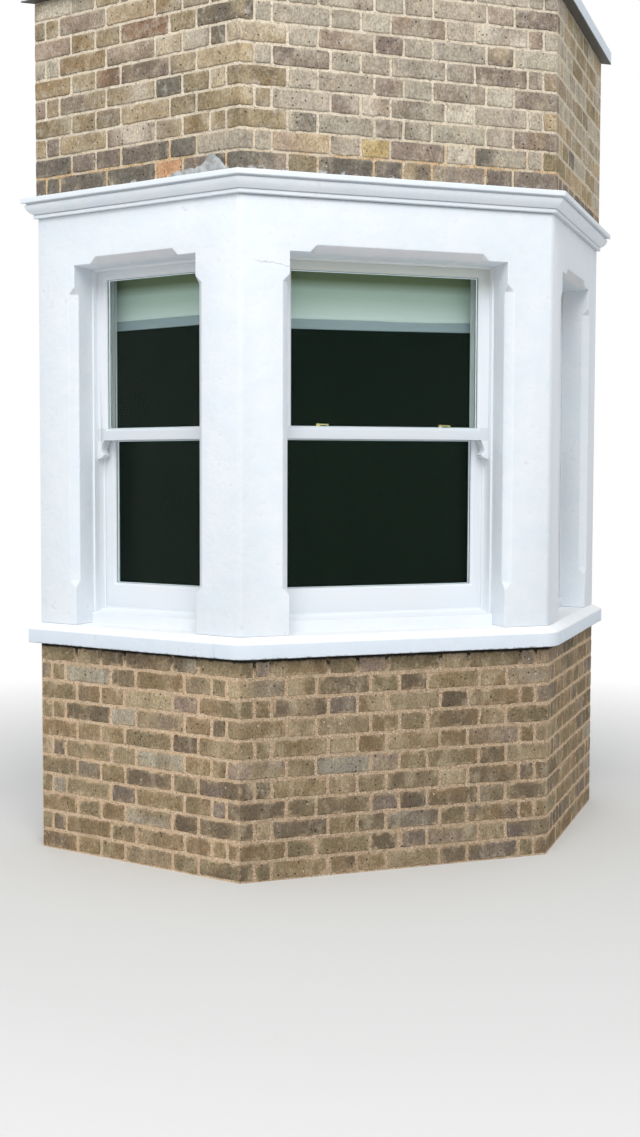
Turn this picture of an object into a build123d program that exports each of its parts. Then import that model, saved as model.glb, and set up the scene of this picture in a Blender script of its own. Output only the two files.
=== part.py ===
"""A canted bay with three timber sash windows, from the ground up to the first-floor sill.

Seen from the garden, +X is to the right, +Y goes into the house and +Z is up, with z = 0
on the ground and the bottom centre of the whole as the origin. The face of the house wall
is y = HOUSE_WALL_Y. The bay is built a little way into that wall and is cut off there. A
distance "out" is measured outwards from the painted wall face, and a "depth" inwards.
"""

import os
from math import cos, radians, sin, tan
from typing import NamedTuple

from build123d import *

# Plan of the painted wall face
FRONT_WIDTH = 1270.0
SIDE_LENGTH = 940.0
CANT = 48.0
WALL = 290.0
CORNER_PIER = 193.0
END_PIER = 180.0
KEY_DEPTH = 140.0
KEY_SHOULDER = 25.0

# Brickwork
COURSE = 76.0
BASE_COURSES = 11
UPPER_COURSES = 10
BASE_PROUD = 3.0
UPPER_PROUD = 9.0

# Painted stone dressings
SILL_HEIGHT = 79.0
SILL_NOSE = 53.0
SILL_OUT = 38.0
UPPER_SILL_OUT = 45.0
SILL_ROUND = 60.0
SILL_RETURN = 90.0
OPENING_HEIGHT = 1410.0
LINTEL_HEIGHT = 198.0
CORNICE_HEIGHT = 78.0
CORNICE_OUT = 52.0
CORNICE_FILLET = 24.0
CORNICE_NECK = 18.0
CORNICE_NECK_OUT = 13.0
CHAMFER = 28.0
JAMB_STOP_TOP = 81.0
JAMB_STOP_BOTTOM = 148.0
LINTEL_STOP = 76.0

# Box frames
REVEAL = 114.0
REBATE = 50.0
FRAME_DEPTH = 140.0
LINING = 22.0
LINING_SHOWS = 8.0
LINING_LIP = 7.0
BEAD = 8.0
STAFF_BEAD = 14.0
TIMBER_SILL_NOSE = 42.0
TIMBER_SILL_HEIGHT = 61.0
TIMBER_SILL_OUT = 14.0
TIMBER_SILL_FALL = 8.0

# Sashes
SASH = 44.0
STILE = 50.0
TOP_RAIL = 40.0
MEETING_RAIL = 46.0
BOTTOM_RAIL = 96.0
MEETING_HEIGHT = 732.0
PUTTY = 8.0
GLASS = 14.0
GLASS_GRIP = 6.0
HORN_DROP = 74.0
HORN_NOSE = 36.0
HORN_WAIST = 22.0

# Clearances
FACE_GAP = 0.3
RUNNING_GAP = 1.0

# Fittings and inside
FASTENER_FROM_JAMB = 185.0
FASTENER_LENGTH = 62.0
FASTENER_PLATE = 3.0
FASTENER_WIDTH = 16.0
BLIND_RAIL = 45.0
BLIND_RAIL_DEPTH = 34.0
BLIND_DROP = 253.0
BLIND_FABRIC = 3.0
BLIND_HEM = 40.0
BLIND_HEM_THICKNESS = 8.0
BLIND_SIDE_GAP = 14.0
BOARD = 25.0
BOARD_NOSE = 40.0

# Levels and places that follow from them
ANGLE = radians(CANT)
HALF_ANGLE = radians(CANT / 2)
BAY_DEPTH = SIDE_LENGTH * sin(ANGLE)
FRONT_Y = (CORNICE_OUT - BAY_DEPTH - KEY_DEPTH) / 2
HOUSE_WALL_Y = FRONT_Y + BAY_DEPTH
BACK_Y = HOUSE_WALL_Y + KEY_DEPTH
KEY_X = FRONT_WIDTH / 2 + SIDE_LENGTH * cos(ANGLE) - KEY_SHOULDER
SILL_BOTTOM = BASE_COURSES * COURSE
SILL_TOP = SILL_BOTTOM + SILL_HEIGHT
OPENING_TOP = SILL_TOP + OPENING_HEIGHT
CORNICE_BOTTOM = OPENING_TOP + LINTEL_HEIGHT
UPPER_BOTTOM = CORNICE_BOTTOM + CORNICE_HEIGHT
UPPER_TOP = UPPER_BOTTOM + UPPER_COURSES * COURSE
TIMBER_SILL_TOP = SILL_TOP + TIMBER_SILL_HEIGHT
MEETING_BOTTOM = SILL_TOP + MEETING_HEIGHT
MEETING_TOP = MEETING_BOTTOM + MEETING_RAIL
HEAD = OPENING_TOP - LINING_SHOWS + LINING_LIP
TOP_SASH_DEPTH = REVEAL + LINING + FACE_GAP
PARTING_BEAD_DEPTH = TOP_SASH_DEPTH + SASH + FACE_GAP
BOTTOM_SASH_DEPTH = PARTING_BEAD_DEPTH + BEAD + FACE_GAP
STAFF_BEAD_DEPTH = BOTTOM_SASH_DEPTH + SASH + FACE_GAP
FRAME_BACK = REVEAL + FRAME_DEPTH
REACH = 2 * (FRONT_WIDTH + SIDE_LENGTH)

LEFT, FRONT, RIGHT = -1, 0, 1
FACES = {"left": LEFT, "front": FRONT, "right": RIGHT}


class Window(NamedTuple):
    """One opening of the bay: its name, its face and its clear width between the jambs."""

    name: str
    side: int
    width: float


WINDOWS = (
    Window("left", LEFT, SIDE_LENGTH - CORNER_PIER - END_PIER),
    Window("front", FRONT, FRONT_WIDTH - 2 * CORNER_PIER),
    Window("right", RIGHT, SIDE_LENGTH - CORNER_PIER - END_PIER),
)


def outward(side):
    """The direction that a face of the bay looks in."""
    return Vector(sin(side * ANGLE), -cos(side * ANGLE), 0)


def rightward(side):
    """The direction to the right along a face, seen from the garden."""
    return Vector(cos(side * ANGLE), sin(side * ANGLE), 0)


def front_point(x, out):
    """A point of the front face, so far to the right of its middle and so far out."""
    return Vector(x, FRONT_Y - out, 0)


def corner_point(side, out):
    """The bend between the front and a side face, on a surface that stands out that far."""
    return front_point(side * (FRONT_WIDTH / 2 + out * tan(HALF_ANGLE)), out)


def face_point(side, along, out):
    """A point of a side face, so far along from the front corner and so far out."""
    return corner_point(side, 0) + rightward(side) * (side * along) + outward(side) * out


def inner_point(side, y):
    """A point of the inner face of a side wall, at that y."""
    along = (y - FRONT_Y - WALL * cos(ANGLE)) / sin(ANGLE)
    return face_point(side, along, -WALL)


def face_middle(window):
    """The middle of an opening, on the painted wall face."""
    if window.side == FRONT:
        return front_point(0, 0)
    return face_point(window.side, CORNER_PIER + window.width / 2, 0)


def section_plane(side, origin):
    """A plane across a face: x is the distance out and y is the height."""
    return Plane(origin=origin, x_dir=outward(side), z_dir=outward(side).cross(Vector(0, 0, 1)))


def window_plane(window, depth):
    """A plane parallel to a window at a depth: x is to the right, y the height, z outwards."""
    middle = face_middle(window) - outward(window.side) * depth
    return Plane(origin=middle, x_dir=rightward(window.side), z_dir=outward(window.side))


def mitre_plane(side, kept_side):
    """The upright plane through a bend of the bay, facing the face that is kept."""
    across = Vector(cos(HALF_ANGLE), side * sin(HALF_ANGLE), 0)
    kept = across if kept_side > side else -across
    return Plane(origin=corner_point(side, 0), x_dir=Vector(0, 0, 1), z_dir=kept)


def face_ends(side):
    """The planes that end a face: its two bends, or its bend and the cut in the house wall."""
    if side == FRONT:
        return mitre_plane(LEFT, FRONT), mitre_plane(RIGHT, FRONT)
    return mitre_plane(side, 2 * side), cut_plane()


def cut_plane():
    """The plane inside the house wall where the bay is cut off, facing the garden."""
    return Plane(origin=(0, BACK_Y, 0), x_dir=(1, 0, 0), z_dir=(0, -1, 0))


def house_wall(side):
    """The room beside the bay that the house wall itself takes up."""
    with BuildPart() as room:
        with BuildSketch():
            with Locations((side * KEY_X, HOUSE_WALL_Y)):
                across = Align.MIN if side > 0 else Align.MAX
                Rectangle(REACH, REACH, align=(across, Align.MIN))
        extrude(amount=UPPER_TOP + REACH)
    return room.part


def run_along(side, section, ends):
    """A section, drawn with x out from the wall face and y up, carried along one face."""
    start = corner_point(side, 0)
    with BuildPart() as run:
        with BuildSketch(section_plane(side, start)):
            add(section)
        extrude(amount=REACH, both=True)
        for end in ends:
            split(bisect_by=end, keep=Keep.TOP)
        if side != FRONT:
            add(house_wall(side), mode=Mode.SUBTRACT)
    return run.part


def section_of(*points):
    """A closed outline through points given as distance out and height."""
    with BuildSketch() as section:
        with BuildLine():
            Polyline(*points, close=True)
        make_face()
    return section.sketch


def save(part, name):
    """Label a finished piece and write it out under its name."""
    part.label = name
    export_step(part, f"parts/{name}.step")


def stopped_chamfer(arris, inward, along, first, last):
    """The tool that takes off an arris between two pyramid stops.

    Inward is the direction that halves the two faces of the arris. The points of the stops
    are at first and last along it, and each stop slopes by as much as the chamfer is wide.
    """
    flat = CHAMFER * cos(radians(45))
    slope = CHAMFER / flat
    beyond = CHAMFER
    with BuildPart() as tool:
        with BuildSketch(Plane(origin=arris, x_dir=inward, z_dir=inward.cross(along))):
            with BuildLine():
                Polyline(
                    (-beyond, first - beyond * slope),
                    (flat, first + flat * slope),
                    (flat, last - flat * slope),
                    (-beyond, last + beyond * slope),
                    close=True,
                )
            make_face()
        extrude(amount=2 * CHAMFER, both=True)
    return tool.part


def jamb_chamfer(arris, side, away):
    """The chamfer of one upright arris of an opening. Away points from the opening."""
    inward = (away - outward(side)).normalized()
    first = SILL_TOP + JAMB_STOP_BOTTOM
    last = OPENING_TOP - JAMB_STOP_TOP
    return stopped_chamfer(arris, inward, Vector(0, 0, 1), first, last)


def brick_wall(side, bottom, courses, proud):
    """One face of brickwork, so many courses high."""
    top = bottom + courses * COURSE
    section = section_of((-WALL, bottom), (proud, bottom), (proud, top), (-WALL, top))
    return run_along(side, section, face_ends(side))


def sill_section(bottom, out):
    """The section of a stone sill: an upright nose, a weathered top and a level bed."""
    return section_of(
        (-WALL, bottom),
        (out, bottom),
        (out, bottom + SILL_NOSE),
        (0, bottom + SILL_HEIGHT),
        (-WALL, bottom + SILL_HEIGHT),
    )


def joint_plane(side, kept_out):
    """The upright joint in a sill, a short return from the bend, facing what is kept."""
    facing = rightward(side) * side
    return Plane(
        origin=face_point(side, SILL_RETURN, 0),
        x_dir=(0, 0, 1),
        z_dir=facing if kept_out else -facing,
    )


def front_sill(bottom, out):
    """The front stone of a sill, which turns both corners and is worn round there."""
    section = sill_section(bottom, out)
    with BuildPart() as stone:
        add(run_along(FRONT, section, face_ends(FRONT)))
        for side in (LEFT, RIGHT):
            bend = mitre_plane(side, 2 * side)
            add(run_along(side, section, (bend, joint_plane(side, False))))
        with BuildSketch(Plane.XY.offset(bottom)):
            with BuildLine():
                Polyline(
                    face_point(LEFT, 2 * SILL_RETURN, out),
                    corner_point(LEFT, out),
                    corner_point(RIGHT, out),
                    face_point(RIGHT, 2 * SILL_RETURN, out),
                    (FRONT_WIDTH / 2 + SILL_RETURN, HOUSE_WALL_Y),
                    (-FRONT_WIDTH / 2 - SILL_RETURN, HOUSE_WALL_Y),
                    close=True,
                )
            plan = make_face()
            fillet(plan.vertices().group_by(Axis.Y)[0], SILL_ROUND)
        extrude(amount=SILL_HEIGHT, mode=Mode.INTERSECT)
    return stone.part


def side_sill(side, bottom, out):
    """The stone of a sill from the joint beside the bend into the house wall."""
    section = sill_section(bottom, out)
    return run_along(side, section, (*face_ends(side), joint_plane(side, True)))


def corner_pier(side):
    """The pier round a bend, with a nib in front of each of the two box frames."""
    front_jamb = side * (FRONT_WIDTH / 2 - CORNER_PIER)
    front_rebate = front_jamb + side * REBATE
    away_front = Vector(side, 0, 0)
    away_side = rightward(side) * -side
    with BuildPart() as pier:
        with BuildSketch(Plane.XY.offset(SILL_TOP)):
            with BuildLine():
                Polyline(
                    front_point(front_jamb, 0),
                    corner_point(side, 0),
                    face_point(side, CORNER_PIER, 0),
                    face_point(side, CORNER_PIER, -REVEAL),
                    face_point(side, CORNER_PIER - REBATE, -REVEAL),
                    face_point(side, CORNER_PIER - REBATE, -WALL),
                    corner_point(side, -WALL),
                    front_point(front_rebate, -WALL),
                    front_point(front_rebate, -REVEAL),
                    front_point(front_jamb, -REVEAL),
                    close=True,
                )
            make_face()
        extrude(amount=OPENING_HEIGHT)
        front_arris = front_point(front_jamb, 0)
        side_arris = face_point(side, CORNER_PIER, 0)
        add(jamb_chamfer(front_arris, FRONT, away_front), mode=Mode.SUBTRACT)
        add(jamb_chamfer(side_arris, side, away_side), mode=Mode.SUBTRACT)
    return pier.part


def end_pier(side):
    """The pier that is keyed into the house wall, with a nib in front of its box frame."""
    jamb = SIDE_LENGTH - END_PIER
    away = rightward(side) * side
    with BuildPart() as pier:
        with BuildSketch(Plane.XY.offset(SILL_TOP)):
            with BuildLine():
                Polyline(
                    face_point(side, jamb, 0),
                    face_point(side, SIDE_LENGTH, 0),
                    (side * KEY_X, HOUSE_WALL_Y),
                    (side * KEY_X, BACK_Y),
                    inner_point(side, BACK_Y),
                    face_point(side, jamb + REBATE, -WALL),
                    face_point(side, jamb + REBATE, -REVEAL),
                    face_point(side, jamb, -REVEAL),
                    close=True,
                )
            make_face()
        extrude(amount=OPENING_HEIGHT)
        arris = face_point(side, jamb, 0)
        add(jamb_chamfer(arris, side, away), mode=Mode.SUBTRACT)
    return pier.part


def lintel(window):
    """The lintel of one face, rebated over the box frame, its soffit arris stop-chamfered."""
    side = window.side
    section = section_of(
        (-WALL, OPENING_TOP),
        (0, OPENING_TOP),
        (0, CORNICE_BOTTOM),
        (-WALL, CORNICE_BOTTOM),
    )
    inward = (Vector(0, 0, 1) - outward(side)).normalized()
    soffit_arris = face_middle(window) + Vector(0, 0, OPENING_TOP)
    stop = window.width / 2 - LINTEL_STOP
    with BuildPart() as stone:
        add(run_along(side, section, face_ends(side)))
        with BuildSketch(window_plane(window, REVEAL)):
            with Locations((0, OPENING_TOP)):
                Rectangle(window.width + 2 * REBATE, REBATE, align=(Align.CENTER, Align.MIN))
        extrude(amount=REVEAL - WALL, mode=Mode.SUBTRACT)
        chamfer_tool = stopped_chamfer(soffit_arris, inward, rightward(side), -stop, stop)
        add(chamfer_tool, mode=Mode.SUBTRACT)
    return stone.part


def cornice(side):
    """One face of the cornice: a rounded neck, an ogee and a square fillet on top."""
    neck_top = CORNICE_BOTTOM + CORNICE_NECK
    fillet_bottom = UPPER_BOTTOM - CORNICE_FILLET
    ogee_out = CORNICE_OUT - CORNICE_NECK_OUT / 3
    middle = ((CORNICE_NECK_OUT + ogee_out) / 2, (neck_top + fillet_bottom) / 2)
    with BuildSketch() as section:
        with BuildLine():
            Polyline(
                (CORNICE_NECK_OUT / 2, neck_top),
                (-WALL, neck_top),
                (-WALL, CORNICE_BOTTOM),
                (CORNICE_NECK_OUT / 2, CORNICE_BOTTOM),
            )
            ThreePointArc(
                (CORNICE_NECK_OUT / 2, CORNICE_BOTTOM),
                (CORNICE_NECK_OUT, CORNICE_BOTTOM + CORNICE_NECK / 2),
                (CORNICE_NECK_OUT / 2, neck_top),
            )
        make_face()
        with BuildLine():
            TangentArc((CORNICE_NECK_OUT / 2, neck_top), middle, tangent=(1, 0))
            TangentArc((ogee_out, fillet_bottom), middle, tangent=(-1, 0))
            Polyline(
                (ogee_out, fillet_bottom),
                (CORNICE_OUT, fillet_bottom),
                (CORNICE_OUT, UPPER_BOTTOM),
                (-WALL, UPPER_BOTTOM),
                (-WALL, neck_top),
                (CORNICE_NECK_OUT / 2, neck_top),
            )
        make_face()
    return run_along(side, section.sketch, face_ends(side))


def timber_sill(window):
    """The sloping timber sill under the box frame, with a nosing between the jambs."""
    plane = section_plane(window.side, face_middle(window))
    front = TIMBER_SILL_OUT - REVEAL
    nose_top = SILL_TOP + TIMBER_SILL_NOSE
    seat_front = -BOTTOM_SASH_DEPTH
    with BuildPart() as sill:
        with BuildSketch(plane):
            with BuildLine():
                Polyline(
                    (front, SILL_TOP),
                    (front, nose_top),
                    (seat_front, TIMBER_SILL_TOP - TIMBER_SILL_FALL),
                    (seat_front, TIMBER_SILL_TOP),
                    (-FRAME_BACK, TIMBER_SILL_TOP),
                    (-FRAME_BACK, SILL_TOP),
                    close=True,
                )
            make_face()
        extrude(amount=window.width / 2 + REBATE, both=True)
        with BuildSketch(window_plane(window, 0)):
            with Locations((0, SILL_TOP)):
                Rectangle(REACH, TIMBER_SILL_HEIGHT, align=(Align.CENTER, Align.MIN))
                Rectangle(
                    window.width,
                    TIMBER_SILL_HEIGHT,
                    align=(Align.CENTER, Align.MIN),
                    mode=Mode.SUBTRACT,
                )
        extrude(amount=-REVEAL, mode=Mode.SUBTRACT)
    return sill.part


def portal(window, depth, thickness, half_width, top):
    """A board on three sides of the opening, from the rebate in to a clear half width."""
    with BuildPart() as boards:
        with BuildSketch(window_plane(window, depth)):
            with Locations((0, SILL_TOP)):
                Rectangle(
                    window.width + 2 * REBATE,
                    OPENING_HEIGHT + REBATE,
                    align=(Align.CENTER, Align.MIN),
                )
                Rectangle(
                    2 * half_width,
                    top - SILL_TOP,
                    align=(Align.CENTER, Align.MIN),
                    mode=Mode.SUBTRACT,
                )
        extrude(amount=-thickness)
    return boards.part


def clear_half(window):
    """Half the width between the pulley stiles of a box frame."""
    return window.width / 2 - LINING_SHOWS + LINING_LIP


def box_frame(window):
    """The box frame: outer lining, pulley stiles and head, parting bead and staff bead."""
    half = clear_half(window)
    with BuildPart() as frame:
        add(portal(window, REVEAL, LINING, half - LINING_LIP, HEAD - LINING_LIP))
        add(portal(window, REVEAL + LINING, FRAME_DEPTH - LINING, half, HEAD))
        add(portal(window, PARTING_BEAD_DEPTH, BEAD, half - BEAD, HEAD - BEAD))
        add(portal(window, STAFF_BEAD_DEPTH, STAFF_BEAD, half - STAFF_BEAD, HEAD - STAFF_BEAD))
        add(timber_sill(window), mode=Mode.SUBTRACT)
    return frame.part


def sash(window, depth, bottom, top, bottom_rail, top_rail):
    """A sash of two stiles and two rails, bevelled to its glass on both sides."""
    width = 2 * (clear_half(window) - RUNNING_GAP)
    light_width = width - 2 * STILE
    light_height = top - bottom - bottom_rail - top_rail
    light_middle = bottom + bottom_rail + light_height / 2
    with BuildPart() as frame:
        with BuildSketch(window_plane(window, depth)):
            with Locations((0, bottom)):
                Rectangle(width, top - bottom, align=(Align.CENTER, Align.MIN))
            with Locations((0, light_middle)):
                Rectangle(light_width, light_height, mode=Mode.SUBTRACT)
        extrude(amount=-SASH)
        bevel_width = light_width + 2 * PUTTY
        bevel_height = light_height + 2 * PUTTY
        with BuildSketch(window_plane(window, depth)):
            with Locations((0, light_middle)):
                Rectangle(bevel_width, bevel_height)
        extrude(amount=-PUTTY, taper=45, mode=Mode.SUBTRACT)
        with BuildSketch(window_plane(window, depth + SASH)):
            with Locations((0, light_middle)):
                Rectangle(bevel_width, bevel_height)
        extrude(amount=PUTTY, taper=45, mode=Mode.SUBTRACT)
        add(pane(window, depth, bottom, top, bottom_rail, top_rail), mode=Mode.SUBTRACT)
    return frame.part


def pane(window, depth, bottom, top, bottom_rail, top_rail):
    """The glass of a sash, let into the stiles and rails all round."""
    width = 2 * (clear_half(window) - RUNNING_GAP) - 2 * STILE
    height = top - bottom - bottom_rail - top_rail
    with BuildPart() as glass:
        with BuildSketch(window_plane(window, depth + (SASH - GLASS) / 2)):
            with Locations((0, bottom + bottom_rail + height / 2)):
                Rectangle(width + 2 * GLASS_GRIP, height + 2 * GLASS_GRIP)
        extrude(amount=-GLASS)
    return glass.part


def meeting_lip(window, depth):
    """The lip that brings a meeting rail half way across the gap between the sashes."""
    width = 2 * (clear_half(window) - BEAD - RUNNING_GAP)
    with BuildPart() as lip:
        with BuildSketch(window_plane(window, depth)):
            with Locations((0, MEETING_BOTTOM)):
                Rectangle(width, MEETING_RAIL, align=(Align.CENTER, Align.MIN))
        extrude(amount=-(BOTTOM_SASH_DEPTH - TOP_SASH_DEPTH - SASH - FACE_GAP) / 2)
    return lip.part


def horn(window, hand):
    """An ogee horn under a stile of the top sash: a scoop, a nose and a round point."""
    edge = clear_half(window) - RUNNING_GAP
    waist_drop = HORN_DROP * 0.48
    nose_drop = HORN_DROP * 0.78

    def place(width, drop):
        return hand * (edge - width), MEETING_BOTTOM - drop

    with BuildPart() as piece:
        with BuildSketch(window_plane(window, TOP_SASH_DEPTH)):
            with BuildLine():
                Polyline(
                    place(HORN_NOSE, 0),
                    place(0, 0),
                    place(0, HORN_DROP),
                    place(HORN_WAIST / 4, HORN_DROP),
                )
                ThreePointArc(
                    place(HORN_NOSE, 0),
                    place((HORN_NOSE + HORN_WAIST) / 2 - 1, waist_drop / 2),
                    place(HORN_WAIST, waist_drop),
                )
                ThreePointArc(
                    place(HORN_WAIST, waist_drop),
                    place(HORN_WAIST + 4, (waist_drop + nose_drop) / 2 + 2),
                    place(HORN_NOSE, nose_drop),
                )
                ThreePointArc(
                    place(HORN_NOSE, nose_drop),
                    place(HORN_NOSE / 2 + 5, (nose_drop + HORN_DROP) / 2 + 3),
                    place(HORN_WAIST / 4, HORN_DROP),
                )
            make_face()
        extrude(amount=-SASH)
    return piece.part


def top_sash(window):
    """The upper, outer sash with a horn under each stile."""
    with BuildPart() as frame:
        add(sash(window, *TOP_SASH))
        add(meeting_lip(window, TOP_SASH_DEPTH + SASH))
        for hand in (-1, 1):
            add(horn(window, hand))
    return frame.part


def bottom_sash(window):
    """The lower, inner sash with its deep bottom rail."""
    lip_depth = (TOP_SASH_DEPTH + SASH + BOTTOM_SASH_DEPTH + FACE_GAP) / 2
    with BuildPart() as frame:
        add(sash(window, *BOTTOM_SASH))
        add(meeting_lip(window, lip_depth))
    return frame.part


def blind(window):
    """A roller blind let down a little way, from the head of the frame to its hem bar."""
    half = window.width / 2 + REBATE - BLIND_SIDE_GAP
    rail_bottom = OPENING_TOP
    hem_top = OPENING_TOP - BLIND_DROP + BLIND_HEM
    fabric_depth = FRAME_BACK + BLIND_RAIL_DEPTH / 2
    with BuildPart() as piece:
        with BuildSketch(window_plane(window, FRAME_BACK)):
            with Locations((0, rail_bottom)):
                Rectangle(2 * half, BLIND_RAIL, align=(Align.CENTER, Align.MIN))
        extrude(amount=-BLIND_RAIL_DEPTH)
        with BuildSketch(window_plane(window, fabric_depth)):
            with Locations((0, hem_top)):
                Rectangle(2 * half, rail_bottom - hem_top, align=(Align.CENTER, Align.MIN))
        extrude(amount=-BLIND_FABRIC)
        hem_depth = fabric_depth + BLIND_FABRIC / 2 - BLIND_HEM_THICKNESS / 2
        with BuildSketch(window_plane(window, hem_depth)):
            with Locations((0, hem_top)):
                Rectangle(2 * half, BLIND_HEM, align=(Align.CENTER, Align.MAX))
        extrude(amount=-BLIND_HEM_THICKNESS)
    return piece.part


def window_board():
    """The board inside the bay: a nose along all three faces and a tongue in each opening."""
    section = section_of(
        (-WALL - BOARD_NOSE, SILL_TOP),
        (-WALL, SILL_TOP),
        (-WALL, SILL_TOP + BOARD),
        (-WALL - BOARD_NOSE, SILL_TOP + BOARD),
    )
    with BuildPart() as board:
        for side in FACES.values():
            add(run_along(side, section, face_ends(side)))
        for window in WINDOWS:
            with BuildSketch(window_plane(window, FRAME_BACK)):
                with Locations((0, SILL_TOP)):
                    Rectangle(window.width + 2 * REBATE, BOARD, align=(Align.CENTER, Align.MIN))
            extrude(amount=FRAME_BACK - WALL)
    return board.part


def sash_fasteners(window):
    """Two brass fasteners on the meeting rails: a plate, a pivot and a lever with a knob."""
    place = window.width / 2 - FASTENER_FROM_JAMB
    meeting_depth = (TOP_SASH_DEPTH + SASH + BOTTOM_SASH_DEPTH) / 2
    half_length = FASTENER_LENGTH / 2
    pivot_radius = FASTENER_WIDTH / 2
    with BuildPart() as pair:
        for x in (-place, place):
            middle = face_middle(window) + rightward(window.side) * x
            middle = middle - outward(window.side) * meeting_depth + Vector(0, 0, MEETING_TOP)
            plate_plane = Plane(origin=middle, x_dir=rightward(window.side), z_dir=(0, 0, 1))
            with BuildSketch(plate_plane):
                SlotOverall(FASTENER_LENGTH, FASTENER_WIDTH)
            extrude(amount=FASTENER_PLATE)
            with BuildSketch(plate_plane.offset(FASTENER_PLATE)):
                Circle(pivot_radius)
            extrude(amount=2 * FASTENER_PLATE, taper=12)
            with BuildSketch(plate_plane.offset(2 * FASTENER_PLATE)):
                with Locations((half_length / 2, 0)):
                    SlotOverall(half_length + pivot_radius, pivot_radius)
            extrude(amount=FASTENER_PLATE)
            with BuildSketch(plate_plane.offset(2 * FASTENER_PLATE)):
                with Locations((half_length, 0)):
                    Circle(pivot_radius * 0.6)
            extrude(amount=3 * FASTENER_PLATE, taper=-6)
    return pair.part


TOP_SASH = (TOP_SASH_DEPTH, MEETING_BOTTOM, HEAD - FACE_GAP, MEETING_RAIL, TOP_RAIL)
BOTTOM_SASH = (BOTTOM_SASH_DEPTH, TIMBER_SILL_TOP, MEETING_TOP, BOTTOM_RAIL, MEETING_RAIL)

os.makedirs("parts", exist_ok=True)

for name, side in FACES.items():
    save(brick_wall(side, 0, BASE_COURSES, BASE_PROUD), f"base_wall_{name}")
    save(brick_wall(side, UPPER_BOTTOM, UPPER_COURSES, UPPER_PROUD), f"upper_wall_{name}")
    save(cornice(side), f"cornice_{name}")

save(front_sill(SILL_BOTTOM, SILL_OUT), "sill_front")
save(front_sill(UPPER_TOP, UPPER_SILL_OUT), "upper_sill_front")
for name, side in (("left", LEFT), ("right", RIGHT)):
    save(side_sill(side, SILL_BOTTOM, SILL_OUT), f"sill_{name}")
    save(side_sill(side, UPPER_TOP, UPPER_SILL_OUT), f"upper_sill_{name}")
    save(corner_pier(side), f"pier_{name}_corner")
    save(end_pier(side), f"pier_{name}_end")

for window in WINDOWS:
    save(lintel(window), f"lintel_{window.name}")
    save(box_frame(window), f"box_frame_{window.name}")
    save(timber_sill(window), f"timber_sill_{window.name}")
    save(top_sash(window), f"top_sash_{window.name}")
    save(bottom_sash(window), f"bottom_sash_{window.name}")
    save(pane(window, *TOP_SASH), f"top_glass_{window.name}")
    save(pane(window, *BOTTOM_SASH), f"bottom_glass_{window.name}")
    save(blind(window), f"blind_{window.name}")

save(sash_fasteners(WINDOWS[1]), "sash_fasteners")
save(window_board(), "window_board")
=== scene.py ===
"""The looks of a canted bay with three timber sash windows, laid brick by brick.

A distance "out" is measured outwards from the painted wall face, in metres. Points are
worked out as whole arrays: each surface is a grid of two parameters, or an outline that is
carried along a path round the three faces of the bay.
"""

from functools import partial
from math import cos, radians, sin, tan

import bmesh
import bpy
import numpy as np
from bpy.props import FloatProperty, FloatVectorProperty, IntProperty, PointerProperty
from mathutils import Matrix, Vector


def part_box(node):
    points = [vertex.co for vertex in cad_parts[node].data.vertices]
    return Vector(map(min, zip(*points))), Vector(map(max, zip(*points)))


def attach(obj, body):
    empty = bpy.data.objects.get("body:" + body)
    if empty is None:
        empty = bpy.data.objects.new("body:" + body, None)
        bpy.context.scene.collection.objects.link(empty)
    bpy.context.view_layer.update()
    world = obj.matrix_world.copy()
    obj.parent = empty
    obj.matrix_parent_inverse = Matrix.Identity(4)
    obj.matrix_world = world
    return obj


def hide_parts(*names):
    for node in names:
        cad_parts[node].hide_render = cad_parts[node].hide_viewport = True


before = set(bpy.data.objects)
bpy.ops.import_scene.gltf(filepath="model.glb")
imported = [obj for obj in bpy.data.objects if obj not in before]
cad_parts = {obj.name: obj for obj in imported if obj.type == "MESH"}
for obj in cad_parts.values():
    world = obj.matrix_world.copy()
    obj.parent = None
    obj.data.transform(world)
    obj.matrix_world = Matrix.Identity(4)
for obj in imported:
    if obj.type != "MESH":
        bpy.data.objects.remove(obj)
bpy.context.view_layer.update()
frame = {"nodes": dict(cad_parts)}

bl_info = {
    "name": "Canted bay with sash windows",
    "version": (1, 0, 0),
    "blender": (4, 5, 0),
    "location": "3D View > Sidebar > Bay",
    "description": "Dresses a bay of three sash windows in brick, painted stone and painted timber",
    "category": "Add Mesh",
}

MM = 0.001
TOUCHING = 0.1 * MM

# The plan of the bay, read from the frame
CANT = radians(48)
LEFT, FRONT, RIGHT = -1, 0, 1
FACES = {"left": LEFT, "front": FRONT, "right": RIGHT}
UP = np.array((0.0, 0.0, 1.0))


def frame_points(node):
    """The corner points of a node of the frame, as an array with one row each."""
    mesh = frame["nodes"][node].data
    points = np.empty(3 * len(mesh.vertices))
    mesh.vertices.foreach_get("co", points)
    return points.reshape(-1, 3)


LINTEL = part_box("lintel_front")
SIDE_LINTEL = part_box("lintel_right")
FRONT_HALF = LINTEL[1].x
FRONT_Y = LINTEL[0].y
WALL = LINTEL[1].y - LINTEL[0].y
SIDE_LENGTH = (SIDE_LINTEL[1].x - FRONT_HALF) / cos(CANT)
HOUSE_WALL_Y = FRONT_Y + SIDE_LENGTH * sin(CANT)
BACK_Y = SIDE_LINTEL[1].y
CUT_POINTS = frame_points("lintel_right")
KEY_X = CUT_POINTS[CUT_POINTS[:, 1] > BACK_Y - TOUCHING, 0].max()

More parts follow.
